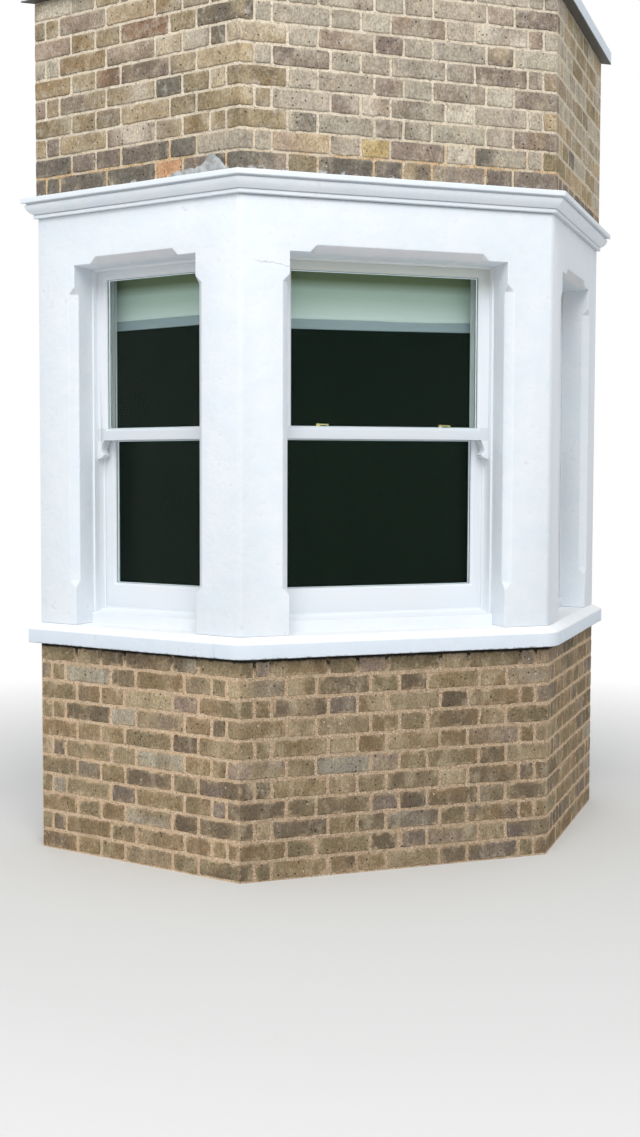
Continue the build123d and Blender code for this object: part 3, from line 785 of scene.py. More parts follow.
def spacer_material(plain):
    """The satin bar of a sealed unit, with its faint seam. It glows a little, which stands for
    the daylight that comes to it through the glass."""
    shader = Shader("spacer_bar")
    grain = shader.noise(160, 3, 0.5, stretch=(1.0, 1.0, 0.1))
    shade = shader.mix(shader.between(grain, 0.35, 0.65, 0, 0.35), plain, scaled(plain, 0.7))
    shader.set(Roughness=0.45, Specular_IOR_Level=0.5)
    shader.set(Emission_Color=(*plain, 1), Emission_Strength=0.5)
    return shader.finish(shade, shader.bump(grain, 0.1 * MM, 0.3))


def seal_material(plain):
    """Black butyl."""
    shader = Shader("edge_seal")
    grain = shader.noise(400, 3, 0.5)
    shade = shader.mix(shader.between(grain, 0.3, 0.7, 0, 0.4), plain, scaled(plain, 1.6))
    shader.set(Roughness=0.7)
    return shader.finish(shade, shader.bump(grain, 0.1 * MM, 0.3))


def brass_material(plain):
    """Brass with fine wear. Its colour is paler than brass: a painted highlight."""
    shader = Shader("worn_brass")
    wear = shader.noise(240, 4, 0.6)
    worn = shader.mix(shader.between(wear, 0.35, 0.65, 0, 0.3), plain, scaled(plain, 0.6))
    shader.set(Metallic=0.3)
    return shader.finish(
        worn, shader.bump(wear, 0.1 * MM, 0.4), shader.between(wear, 0, 1, 0.25, 0.45)
    )


def blind_material(name, plain, lit, foot, shaded, shade_from, shade_to):
    """Woven cloth, paler just above its foot, and shaded by the frame between two heights."""
    shader = Shader(name)
    across = shader.noise(900, 2, 0.5, stretch=(0.15, 0.15, 1.0))
    down = shader.noise(900, 2, 0.5, stretch=(1.0, 1.0, 0.12))
    weave = shader.product(across, down)
    toned = shader.mix(shader.between(shader.height(), foot + 90 * MM, foot), plain, lit)
    toned = shader.mix(shader.between(shader.height(), shade_from, shade_to), toned, shaded)
    woven = shader.mix(shader.between(weave, 0.15, 0.35, 0, 0.18), toned, scaled(plain, 0.7))
    shader.set(Roughness=0.85, Sheen_Weight=0.15)
    return shader.finish(woven, shader.bump(weave, 0.4 * MM, 0.5))


# Brickwork
TONES = {
    "olive": srgb(143, 128, 101),
    "tan": srgb(169, 151, 123),
    "stone": srgb(170, 161, 146),
    "pink brown": srgb(158, 140, 125),
    "purple grey": srgb(131, 118, 108),
    "cream": srgb(198, 188, 171),
    "slate": srgb(108, 102, 94),
    "ochre": srgb(176, 151, 106),
    "brown": srgb(150, 129, 99),
    "umber": srgb(120, 106, 88),
    "taupe": srgb(167, 156, 142),
    "terracotta": srgb(196, 152, 116),
    "yellow": srgb(180, 158, 112),
    "red brown": srgb(138, 112, 92),
}
SHARES = {
    "base": {
        "olive": 5, "brown": 5, "tan": 2.5, "stone": 0.8,
        "pink brown": 0.8, "purple grey": 1.2, "umber": 3,
    },
    "front": {
        "stone": 6, "taupe": 5, "cream": 3, "pink brown": 2,
        "purple grey": 3, "tan": 1.5, "slate": 0.6, "ochre": 0.2,
    },
    "side": {
        "olive": 5, "tan": 4, "stone": 2, "brown": 1,
        "purple grey": 2, "pink brown": 2, "cream": 1, "slate": 1,
    },
    "right": {"stone": 4, "taupe": 3, "olive": 4, "tan": 1.5, "slate": 1, "brown": 0.5},
    "sooty": {"slate": 5, "purple grey": 4, "olive": 1},
}
SOOTY_COURSES = {LEFT: 2, FRONT: 1, RIGHT: 1}
ODD_BRICKS = {
    (LEFT, 0, 3): "terracotta",
    (LEFT, 5, 3): "red brown",
    (LEFT, 7, 2): "red brown",
    (FRONT, 1, 4): "yellow",
    (FRONT, 1, 6): "cream",
}
# Painted light per face: how much lighter or darker a wall's bricks are than their tones, and
# its mortar than its colour, for the light on that face. The darker base front is dirtier too
FACE_LIGHT_LIFT = {
    ("base", FRONT): 0.79,
    ("base", RIGHT): 0.88,
    ("upper", FRONT): 1.08,
    ("upper", RIGHT): 1.32,
}
MORTAR_FACE_LIGHT_LIFT = {("base", FRONT): 0.74, ("upper", RIGHT): 0.97}
# How thickly mortar is smeared over the bricks' edges, and how much edge stays clear of it
SMEAR = {"base": 0.85, "upper": 0.4}
SPARE = {"base": 0.6, "upper": 0.8}
FLUSH_SMEAR = 0.1
BRICK_DEPTH = 16 * MM
BRICK_COLUMNS, BRICK_ROWS = 19, 11
# How far in from a brick's outline its edge reaches
EDGE_REACH = 14 * MM


def picked_tones(count, shares, chooser):
    """Random brick colours in those shares, each a little lighter or darker than its name."""
    names = list(shares)
    weights = np.array([shares[name] for name in names], float)
    chosen = chooser.choice(len(names), count, p=weights / weights.sum())
    colours = np.array([TONES[name] for name in names])[chosen]
    lighter = chooser.uniform(0.84, 1.16, (count, 1))
    return colours * lighter * chooser.uniform(0.985, 1.015, (count, 3))


def laid_course(pattern, width, joint, tight_start, tight_end):
    """The start and end of each brick of a course. The lengths share out the width, and half
    a joint comes off each end, apart from an end that turns a bend."""
    lengths = np.array([LENGTHS[letter] for letter in pattern])
    edges = np.concatenate(((0.0,), np.cumsum(lengths))) * width / lengths.sum()
    starts = edges[:-1] + joint / 2
    ends = edges[1:] - joint / 2
    if tight_start:
        starts[0] = 0
    if tight_end:
        ends[-1] = width
    return starts, ends


def brick_grid(half, settings):
    """The front of bricks with those half sizes, as (x, height, out) over a grid. The grid
    lines crowd at the edges by a sine. A point past the rounded corner moves in to its
    circle, and near the edge the surface drops as a quarter of a circle. Also gives how far
    each point lies inside the outline."""
    across = np.sin(np.linspace(-1, 1, BRICK_COLUMNS) * np.pi / 2)
    upward = np.sin(np.linspace(-1, 1, BRICK_ROWS) * np.pi / 2)
    across = np.concatenate(((-1,), across, (1,)))
    upward = np.concatenate(((-1,), upward, (1,)))
    height, x = np.meshgrid(upward, across, indexing="ij")
    place = np.stack((x, height), axis=-1)[None] * half[:, None, None, :]
    core = half[:, None, None, :] - settings.corner
    past = np.maximum(np.abs(place) - core, 0)
    reach = np.linalg.norm(past, axis=-1, keepdims=True)
    past = past * np.minimum(1, settings.corner / np.maximum(reach, 1e-9))
    place = np.sign(place) * (np.minimum(np.abs(place), core) + past)
    inset = np.abs(place) - core
    outside_core = np.linalg.norm(np.maximum(inset, 0), axis=-1)
    inside = settings.corner - outside_core - np.minimum(inset.max(axis=-1), 0)
    share = 1 - np.clip(inside / settings.arris, 0, 1)
    out = settings.arris * (np.sqrt(np.maximum(1 - share**2, 0)) - 1)
    out[:, (0, -1), :] = -BRICK_DEPTH
    out[:, :, (0, -1)] = -BRICK_DEPTH
    return place, out, inside


def brick_panel(origin, along, normal, rows, settings, ragged, seed):
    """The bricks of one flat panel. Rows are (start, end, bottom, top) for each brick, and
    noise wears their outlines and faces, which stay behind the face of the wall."""
    rows = np.array(rows)
    half = np.stack((rows[:, 1] - rows[:, 0], rows[:, 3] - rows[:, 2]), axis=-1) / 2
    middle = np.stack((rows[:, 1] + rows[:, 0], rows[:, 3] + rows[:, 2]), axis=-1) / 2
    place, out, inside = brick_grid(half, settings)
    place = place + middle[:, None, None, :]
    points = origin + place[..., :1] * along + place[..., 1:] * UP
    edge = 1 - np.clip(inside / EDGE_REACH, 0, 1)
    for axis in (along, UP):
        wear = value_noise(points, 31 * MM, seed + axis[2])
        wear = wear + 0.6 * value_noise(points, 11 * MM, seed + 5)
        points = points + (edge * wear * ragged)[..., None] * axis
    relief = 1.3 * value_noise(points, 60 * MM, seed + 2)
    relief = relief + 0.8 * value_noise(points, 17 * MM, seed + 3)
    chips = np.maximum(value_noise(points, 24 * MM, seed + 4) - 0.45, 0) * edge * 7 * MM
    lean = value_noise(middle[:, None, None, ::-1] * (1, 1) @ np.eye(2, 3), 90 * MM, seed + 6)
    skin = np.minimum(out + (relief - 2.1) * 0.35 * MM - chips + (lean - 1) * 0.4 * MM, 0)
    skirt = np.isclose(out, -BRICK_DEPTH)
    points = points + np.where(skirt, out, skin)[..., None] * normal
    bricks, up_count, across_count = out.shape
    single = grid_faces(up_count, across_count)
    if np.dot(np.cross(along, UP), normal) < 0:
        single = single[:, ::-1]
    starts = np.arange(bricks) * up_count * across_count
    faces = (single[None] + starts[:, None, None]).reshape(-1, 4)
    return points.reshape(-1, 3), faces, edge.ravel()


def brick_tones(points, edge, first, second, mortar, smear, spare, seed):
    """The colour of every point: each brick runs from its first tone to its second by smooth
    noise, mortar is smeared over its edge where edge + noise is more than the spare, and a
    dark rim of dirt and painted shade lies round its outline."""
    each = len(points) // len(first)
    share = np.clip(0.2 + 0.9 * value_noise(points, 80 * MM, seed + 8), 0, 0.8)[:, None]
    tones = np.repeat(first, each, axis=0) * (1 - share) + np.repeat(second, each, axis=0) * share
    spread = 1.1 * edge + 0.9 * value_noise(points, 14 * MM, seed + 9)
    spread = spread + 0.5 * value_noise(points, 60 * MM, seed + 10)
    cover = (np.clip(spread - spare, 0, 1) * smear)[:, None]
    # the outermost ring of each brick darkened by half: dirt and painted shade at the recessed
    # joint
    rim_dirt_and_shade = 1 - 0.5 * np.clip(edge * 8 - 7, 0, 1)[:, None]
    return (tones * (1 - cover) + np.array(mortar) * cover) * rim_dirt_and_shade


def panels_of(side, proud):
    """The brick panels of one wall: origin, direction, normal, width and bond of each."""
    if side == FRONT:
        start = np.array((*corner_plan(LEFT, proud), 0))
        width = 2 * corner_plan(RIGHT, proud)[0]
        return [(start, rightward(FRONT), outward(FRONT), width, "front")]
    bend = np.array((*corner_plan(side, proud), 0))
    end = np.array((*wall_plan(side, proud), 0))
    key = np.array((side * KEY_X, HOUSE_WALL_Y, 0))
    inner = np.array((*inner_plan(side, BACK_Y), 0))
    cut = np.array((side * KEY_X, BACK_Y, 0))
    into_house = np.array((0.0, 1.0, 0.0))
    inwards = np.array((-side, 0.0, 0.0))
    return [
        (bend, rightward(side) * side, outward(side), np.linalg.norm(end - bend), "side"),
        (key, into_house, -inwards, BACK_Y - HOUSE_WALL_Y, "return"),
        (cut, inwards, into_house, abs(cut[0] - inner[0]), "cut"),
    ]


def turning_tones(part, seed):
    """The first and second tones, course by course, of the bricks that turn each bend."""
    turning = {}
    for bend in (LEFT, RIGHT):
        chooser = np.random.default_rng(seed + 1000 + bend + len(part))
        shares = SHARES["base" if part == "base" else "side"]
        turning[bend] = [picked_tones(COURSES_UP[part], shares, chooser) for _ in range(2)]
        if part == "upper":
            for tones in turning[bend]:
                tones[0] = picked_tones(1, SHARES["sooty"], chooser)[0]
    return turning


def course_tones(part, side, kind, level, count, turning, chooser):
    """The first and the second tone of each brick of a course."""
    share = "base" if part == "base" else {LEFT: "side", FRONT: "front", RIGHT: "right"}[side]
    if part == "upper" and level < SOOTY_COURSES[side]:
        share = "sooty"
    pair = []
    for index in range(2):
        picked = picked_tones(count, SHARES[share], chooser)
        if kind == "front":
            picked[0] = turning[LEFT][index][level]
            picked[-1] = turning[RIGHT][index][level]
        if kind == "side":
            picked[0] = turning[side][index][level]
        if part == "upper" and kind in ("front", "side"):
            for (face, course, place), tone in ODD_BRICKS.items():
                if (face, course) == (side, level):
                    picked[place] = TONES[tone]
        pair.append(picked)
    return pair


def brick_wall(part, side, name, proud, bottom, top, settings, material):
    """All bricks of one wall as one piece. A brick that turns a bend has one tone on both
    faces. The base starts with the second course of the bond."""
    base = part == "base"
    course = (top - bottom) / COURSES_UP[part]
    bonds = {"front": FRONT_BOND, "side": SIDE_BONDS[part], "return": RETURN_BOND, "cut": CUT_BOND}
    joint = settings.base_joint if base else settings.joint
    ragged = settings.base_ragged if base else settings.ragged
    mortar = settings.base_mortar if base else settings.mortar
    smear = FLUSH_SMEAR if (part, side) == ("upper", RIGHT) else SMEAR[part]
    chooser = np.random.default_rng(settings.seed + 10 * (side + 2) + (100 if base else 0))
    turning = turning_tones(part, settings.seed)
    points, faces, tones, count = [], [], [], 0
    for origin, along, normal, width, kind in panels_of(side, proud):
        rows, pairs = [], []
        for level in range(COURSES_UP[part]):
            pattern = bonds[kind][(level + (1 if base else 0)) % 2]
            tight = kind in ("front", "side")
            starts, ends = laid_course(pattern, width, joint, tight, kind == "front")
            low = bottom + level * course + joint / 2
            rows += [(start, end, low, low + course - joint) for start, end in zip(starts, ends)]
            pairs.append(course_tones(part, side, kind, level, len(starts), turning, chooser))
        seed = settings.seed + len(kind)
        made, quads, edge = brick_panel(origin, along, normal, rows, settings, ragged, seed)
        points.append(made)
        faces.append(quads + count)
        pair = [np.concatenate(picked) for picked in zip(*pairs)]
        shown = brick_tones(made, edge, *pair, mortar, smear, SPARE[part], settings.seed)
        # painted light per face, and on the base front painted shade with dirt
        tones.append(FACE_LIGHT_LIFT.get((part, side), 1.0) * shown)
        count += len(made)
    piece = new_piece(
        name, np.concatenate(points), np.concatenate(faces), [material], f"{part}_brick"
    )
    tone = piece.data.attributes.new("tone", "FLOAT_COLOR", "POINT")
    flat = np.concatenate(tones)
    tone.data.foreach_set("color", np.column_stack((flat, np.ones(len(flat)))).ravel())
    return piece


def spaced(start, end, step):
    """Points from one plan point to another, about a step apart, without the last one."""
    count = max(1, int(np.ceil(np.linalg.norm(end - start) / step)))
    return start + (end - start) * (np.arange(count) / count)[:, None]


# The grid of a wall's core, and how rough its mortar is as a share of its recess
CORE_STEP = 9 * MM
CORE_ROUGH = 0.32


def wall_runs(side, out, recess):
    """The runs of a wall's plan outline: where each starts and ends, the direction in which
    its mortar is rough, or None, and whether it is the plastered inner face."""
    outer, inner_bend = corner_plan(side, out), corner_plan(side, -WALL)
    if side == FRONT:
        left, right = corner_plan(LEFT, out), corner_plan(RIGHT, out)
        inner_left, inner_right = corner_plan(LEFT, -WALL), corner_plan(RIGHT, -WALL)
        return (
            (left, right, outward(FRONT), False),
            (right, inner_right, None, False),
            (inner_right, inner_left, None, True),
            (inner_left, left, None, False),
        )
    shoulder = np.array((side * (KEY_X - recess), HOUSE_WALL_Y))
    cut = np.array((side * (KEY_X - recess), BACK_Y - recess))
    inner = inner_plan(side, BACK_Y - recess)
    return (
        (outer, wall_plan(side, out), outward(side), False),
        (wall_plan(side, out), shoulder, None, False),
        (shoulder, cut, np.array((side, 0, 0)), False),
        (cut, inner, np.array((0, 1, 0)), False),
        (inner, inner_bend, None, True),
        (inner_bend, outer, None, False),
    )


def wall_core(part, side, name, proud, recess, bottom, top, materials):
    """The mortar and plaster of one wall: its plan outline carried up the wall. On the outer
    faces noise moves each point along its normal, and the inner face stays flat."""
    plan, push, inside = [], [], []
    for start, end, normal, plastered in wall_runs(side, proud - recess, recess):
        made = start[None] if normal is None else spaced(start, end, CORE_STEP)
        plan.append(made)
        push.append(np.tile((0, 0, 0) if normal is None else normal, (len(made), 1)))
        push[-1][0] = 0
        inside += [plastered] * len(made)
    plan, push = np.concatenate(plan), np.concatenate(push)
    rows, columns = int((top - bottom) / CORE_STEP), len(plan)
    points = raised(plan, np.linspace(bottom, top, rows + 1))
    relief = 0.7 * value_noise(points, 34 * MM, 3) + 0.7 * value_noise(points, 12 * MM, 4)
    points = points + (relief * (recess * CORE_ROUGH))[..., None] * push
    faces = shell_faces(rows + 1, columns)
    piece = closed_piece(name, points, faces, materials, f"{part}_brick", 44)
    plastered = np.concatenate((np.tile(inside, rows), (False, False)))
    piece.data.polygons.foreach_set("material_index", plastered.astype(np.int32))
    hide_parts(f"{part}_wall_{name.split('_')[-1]}")
    return piece


def part_mortars(part, settings):
    """A part's usual mortar, and a copy made lighter or darker by painted light for one of its
    walls;
    on the base front it is dirtier as well.
    """
    if part == "base":
        usual, other = settings.base_mortar, scaled(settings.base_mortar, MORTAR_FACE_LIGHT_LIFT[part, FRONT])
        return (
            mortar_material("base_mortar", usual, usual, 0, settings.soot_and_shade),
            mortar_material("front_mortar", other, other, 0, settings.soot_and_shade),
        )
    usual, other = settings.mortar, scaled(settings.mortar, MORTAR_FACE_LIGHT_LIFT[part, RIGHT])
    stain_top = CORNICE_TOP + 2 * (UPPER_TOP - CORNICE_TOP) / COURSES_UP["upper"]
    stain = (settings.stained_mortar, stain_top, settings.soot_and_shade)
    return (
        mortar_material("upper_mortar", usual, *stain),
        mortar_material("shaded_mortar", other, *stain),
    )


class BAY_OT_brickwork(bpy.types.Operator):
    """Lays the bricks and mortar of the base and of the wall above the cornice"""

    bl_idname = "bay.brickwork"
    bl_label = "Brickwork"

    def execute(self, context):
        settings = context.scene.bay_bricks
        brick = brick_material("stock_brick", settings.soot_and_shade, context.scene.bay_paint.stone)
        plaster = plaster_material("plaster", settings.plaster, srgb(200, 196, 186), 6, 0.2)
        for part, bottom, top in (("base", 0.0, SILL_BOTTOM), ("upper", CORNICE_TOP, UPPER_TOP)):
            proud = FRONT_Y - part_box(f"{part}_wall_front")[0].y
            mortars = part_mortars(part, settings)
            for name, side in FACES.items():
                recess = settings.base_recess if part == "base" else settings.upper_recess
                if (part, side) == ("upper", RIGHT):
                    recess = settings.right_recess
                # one wall of each part takes the mortar copy with painted light
                finish = [mortars[(part, side) in MORTAR_FACE_LIGHT_LIFT], plaster]
                core = f"{part}_mortar_{name}"
                wall_core(part, side, core, proud, recess, bottom, top, finish)
                bricks = f"{part}_bricks_{name}"
                brick_wall(part, side, bricks, proud, bottom, top, settings, brick)
        return {"FINISHED"}


# Painted stone
def bend_stations(side, reach, steps=6):
    """Stations round a bend, from the left to the right of it."""
    shares = np.linspace(0, 1, steps + 1)
    ordered = shares if side == RIGHT else 1 - shares
    return [lambda out, q=q: bend_plan(side, out, q, reach) for q in ordered]


def mixed_stations(start, end, shares):
    """Stations at those shares of the way from one station to another."""
    return [lambda out, q=q: start(out) * (1 - q) + end(out) * q for q in shares]


def front_stations(margin=0.02, steps=24):
    """Stations along the front, between but not at the bends."""
    shares = np.linspace(margin, 1 - margin, steps)
    return mixed_stations(partial(corner_plan, LEFT), partial(corner_plan, RIGHT), shares)


def wall_stations(side, steps=14):
    """Stations from just past a bend to the face of the house wall."""
    shares = np.linspace(0.03, 1.0, steps)
    return mixed_stations(partial(corner_plan, side), partial(wall_plan, side), shares)


def past_bend(side, along, out, groove=0.0):
    """A point so far past a bend. The part inside the wall keeps that distance from the mitre,
    and the part outside it steps back by the depth of the groove."""
    back = np.where(out > 0, out - groove, out)
    return side_plan(side, along - np.minimum(out, 0) * tan(CANT / 2), back)


def jointed_stations(side):
    """Stations from past a bend to the house wall, with a narrow groove at the stones' joint."""
    groove = ((-4, 0), (-1.8, 6), (1.8, 6), (4, 0))

    def station(along, deep=0.0):
        """The station that lies so far along, in a groove of that depth."""
        return lambda out: past_bend(side, along, out, deep)

    near = [station(SILL_RETURN + at * MM, deep * MM) for at, deep in groove]
    start, end = station(SILL_RETURN + 12 * MM), partial(wall_plan, side)
    return [station(70 * MM), *near, *mixed_stations(start, end, np.linspace(0, 1, 12))]


def key_block(side, bottom, top):
    """The part of a course inside the house wall, as a closed block."""
    plan = np.array(
        (
            (side * KEY_X, HOUSE_WALL_Y),
            (side * KEY_X, BACK_Y),
            inner_plan(side, BACK_Y),
            inner_plan(side, HOUSE_WALL_Y),
        )
    )
    return raised(plan, (bottom, top)), shell_faces(2, 4)


def stone_run(name, outline, stations, bottom, top, material, nodes):
    """A moulded course: its outline carried along the stations, with its blocks in the wall."""
    points = carried(outline, stations)
    waves = value_noise(points, 160 * MM, 11) * 0.7 * MM
    waves = waves + value_noise(points, 45 * MM, 12) * 0.35 * MM
    exposed = (outline[:, 0] > 1 * MM) & (outline[:, 0] < outline[:, 0].max() - 0.5 * MM)
    points[1:-1, exposed, 1] += np.maximum(waves, 0)[1:-1, exposed]
    points[1:-1, exposed, 2] += waves[1:-1, exposed]
    parts = [(points, shell_faces(len(stations), len(outline)))]
    parts += [key_block(side, bottom, top) for side in (LEFT, RIGHT)]
    piece = closed_piece(name, *joined_parts(parts), [material], "painted_stone", 40)
    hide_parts(*nodes)
    return piece


def cornice_outline():
    """The cornice: a flat bead, an ovolo that is level at its foot and upright at its head, as
    sin(turn) across and (1 - cos(turn))^0.85 up, a quirk, and a square fillet over them."""
    low, high = CORNICE_BOTTOM + CORNICE_NECK, CORNICE_TOP - CORNICE_FILLET
    neck, foot, head = CORNICE_NECK_OUT, 4 * MM, CORNICE_OUT - CORNICE_OVERHANG
    bead = rounded(
        ((0, CORNICE_BOTTOM), (neck, CORNICE_BOTTOM), (neck, low), (foot, low)),
        (0, 3 * MM, 3 * MM, 0),
    )[:-1]
    turn = np.linspace(0, np.pi / 2, 14)
    rise = (high - 7 * MM - low) * (1 - np.cos(turn)) ** 0.85
    ovolo = np.stack((foot + (head - foot) * np.sin(turn), low + rise), axis=-1)
    quirk = ((head - 5 * MM, high - 6 * MM), (head - 5 * MM, high))
    fillet = rounded(
        ((head, high), (CORNICE_OUT, high), (CORNICE_OUT, CORNICE_TOP), (-WALL, CORNICE_TOP)),
        (0, 2.5 * MM, 4 * MM, 0),
    )[1:]
    return np.concatenate((bead, ovolo, quirk, fillet, ((-WALL, CORNICE_BOTTOM),)))


def sill_outline(bottom, top, out):
    """A stone sill: an upright nose with worn arrises and a weathered top."""
    return rounded(
        (
            (-WALL, bottom),
            (out, bottom),
            (out, bottom + SILL_NOSE),
            (0, top),
            (-WALL, top),
        ),
        (0, 4 * MM, 6 * MM, 5 * MM, 0),
    )


def at_bend(point):
    """Whether a point lies on an outer bend of the painted faces."""
    place = np.array(point[:2])
    return any(np.linalg.norm(place - corner_plan(side, 0)) < TOUCHING for side in (LEFT, RIGHT))


def joined_solids(nodes):
    """The solids of some nodes joined into one mesh."""
    helpers = [linked(f"part_{node}", merged_node(node)) for node in nodes]
    for helper in helpers[1:]:
        union = helpers[0].modifiers.new("join", "BOOLEAN")
        union.operation = "UNION"
        union.solver = "EXACT"
        union.object = helper
    bpy.context.view_layer.update()
    graph = bpy.context.evaluated_depsgraph_get()
    joined = bpy.data.meshes.new_from_object(helpers[0].evaluated_get(graph))
    for helper in helpers:
        bpy.data.objects.remove(helper)
    return joined


def painted_surround(material, radius, bend_radius):
    """The four piers and three lintels under one coat of paint: the solids joined into one,
    with both bends rounded."""
    nodes = [f"pier_{place}" for place in ("left_end", "left_corner", "right_corner", "right_end")]
    nodes += [f"lintel_{name}" for name in FACES]
    joined = joined_solids(nodes)
    shape = bmesh.new()
    shape.from_mesh(joined)
    merged_and_flat(shape, 0.05 * MM)
    bends = [edge for edge in shape.edges if all(at_bend(vertex.co) for vertex in edge.verts)]
    bmesh.ops.bevel(
        shape, geom=bends, offset=2 * bend_radius, offset_type="OFFSET", segments=6,
        profile=0.5, affect="EDGES",
    )
    shape.to_mesh(joined)
    shape.free()
    return standing_piece("painted_surround", joined, material, radius, nodes)


# The cement's top edge: distances from the bend, and its heights above the cornice, in mm
CEMENT_PLACE = (-300, -285, -255, -210, -160, -147, -136, -122, -108, -97, -80, -60, -44)
CEMENT_HEIGHT = (8, 22, 29, 31, 34, 45, 60, 74, 73, 64, 50, 27, 8)


def cement_patch(material):
    """Grey cement smeared over the foot of the upper wall beside the left bend. It is a grid
    of distance from the bend and share of height: its top edge is a broken line roughened by
    noise, and its thickness falls off as 1 - share^4 and at both ends."""
    proud = FRONT_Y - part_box("upper_wall_front")[0].y
    columns, rows = 110, 16
    run = np.linspace(CEMENT_PLACE[0], CEMENT_PLACE[-1], columns) * MM
    share = np.linspace(0, 1, rows)
    plan = side_plan(LEFT, -run, proud)
    out = np.broadcast_to(outward(LEFT)[:2], plan.shape)
    flat = np.stack((run, 0 * run, 0 * run), axis=-1)
    ragged = 2.4 * value_noise(flat, 19 * MM, 21) + 2.6 * value_noise(flat, 6 * MM, 22)
    height = (np.interp(run / MM, CEMENT_PLACE, CEMENT_HEIGHT) + ragged) * MM
    ground = np.stack(np.broadcast_arrays(run[:, None], share * height[:, None], 0.0), axis=-1)
    ends = np.minimum(1, np.minimum(run - run[0], run[-1] - run) / (12 * MM))[:, None]
    thick = (0.5 + (1.6 + 0.5 * value_noise(ground, 24 * MM, 23)) * (1 - share**4) * ends) * MM
    z = np.broadcast_to(CORNICE_TOP + share * height[:, None], thick.shape)[..., None]
    front = np.concatenate((plan[:, None] + out[:, None] * thick[..., None], z), axis=-1)
    inner = np.broadcast_to((plan - out * 7 * MM)[:, None], (columns, rows, 2))
    back = np.concatenate((inner, z), axis=-1)
    points = np.concatenate((front, back[:, ::-1]), axis=1)
    faces = shell_faces(columns, 2 * rows)
    return closed_piece("cement_patch", points, faces, [material], "upper_brick", 40)


class BAY_OT_stonework(bpy.types.Operator):
    """Paints the piers and lintels and runs the cornice and the sills round the bay"""

    bl_idname = "bay.stonework"
    bl_label = "Painted stone"

    def execute(self, context):
        settings = context.scene.bay_paint
        paint = stone_paint_material("masonry_paint", settings.stone, settings.dirt, surround=True)
        # dark lines of grime and painted shade: under the bead, above it and under the fillet
        seam_grime_and_shade = (
            (CORNICE_BOTTOM, 2 * MM),
            (CORNICE_BOTTOM + CORNICE_NECK, 4 * MM),
            (CORNICE_TOP - CORNICE_FILLET - 3 * MM, 5 * MM),
        )
        cornice_paint = stone_paint_material(
            "cornice_paint", settings.stone, settings.dirt, seam_grime_and_shade=seam_grime_and_shade
        )
        painted_surround(paint, settings.stone_soft, settings.bend_soft)
        all_round = [
            *reversed(wall_stations(LEFT)),
            *bend_stations(LEFT, settings.bend_soft),
            *front_stations(),
            *bend_stations(RIGHT, settings.bend_soft),
            *wall_stations(RIGHT),
        ]
        stone_run(
            "cornice_moulding", cornice_outline(), all_round, CORNICE_BOTTOM, CORNICE_TOP,
            cornice_paint, [f"cornice_{name}" for name in FACES],
        )
        cement_patch(plaster_material("grey_cement", settings.cement, srgb(138, 138, 134), 34, 0.8))
        for part, bottom, top, out in (
            ("sill", SILL_BOTTOM, SILL_TOP, SILL_OUT),
            ("upper_sill", UPPER_TOP, TOP, UPPER_SILL_OUT),
        ):
            # each sill's paint darkens along its foot, with sooty grime and painted shade
            sill_paint = stone_paint_material(
                f"{part}_paint", settings.sill, settings.dirt, settings.weathered_and_lit, bottom
            )

            def worn(reached, out=out):
                """How far from a bend its rounding starts, at a distance out."""
                return settings.bend_soft + settings.sill_soft * np.clip(reached / out, 0, 1)

            sill_round = [
                *reversed(jointed_stations(LEFT)),
                *bend_stations(LEFT, worn, 12),
                *front_stations(0.08),
                *bend_stations(RIGHT, worn, 12),
                *jointed_stations(RIGHT),
            ]
            stone_run(
                f"{part}_stones", sill_outline(bottom, top, out), sill_round, bottom, top,
                sill_paint, [f"{part}_{name}" for name in FACES],
            )
        return {"FINISHED"}


# Joinery
STAFF_BEAD = 14 * MM
STOP_DEPTH = 6.6 * MM


def slab(node, side, thickness):
    """The middle, width and height of an upright slab of known thickness, from its box."""
    low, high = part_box(node)
    middle = np.array((low + high) / 2)
    width = (high.x - low.x - thickness * abs(sin(side * CANT))) / cos(side * CANT)
    return middle, width, high.z - low.z


def inner_stops(name, side, reach, material):
    """The stops on the staff beads of both jambs: an ovolo carried up each jamb, from the top
    of the timber sill to the head. Its outline is (across, back) in the plan of the window."""
    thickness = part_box("top_glass_front")[1].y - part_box("top_glass_front")[0].y
    middle, width, _ = slab(f"top_glass_{name}", side, thickness)
    sight = width / 2 - 6 * MM
    jamb = sight + 50 * MM - STAFF_BEAD
    outer_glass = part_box("top_glass_front")[0].y
    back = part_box("box_frame_front")[1].y
    behind = back - (outer_glass + thickness / 2)
    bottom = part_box("timber_sill_front")[1].z
    top = OPENING_TOP - STAFF_BEAD
    edge = jamb - reach
    outline = rounded(
        ((jamb, 0), (jamb, -STOP_DEPTH), (edge, -STOP_DEPTH), (edge, 0)), (0, 0, 2.5 * MM, 0)
    )
    parts = []
    for hand in (-1, 1):
        across = outline[:, :1] * hand * rightward(side)[:2]
        plan = middle[:2] + across - (behind + outline[:, 1:]) * outward(side)[:2]
        parts.append((raised(plan, (bottom, top)), shell_faces(2, len(plan))))
    points, faces = joined_parts(parts)
    return closed_piece(f"painted_stops_{name}", points, faces, [material], "painted_timber")


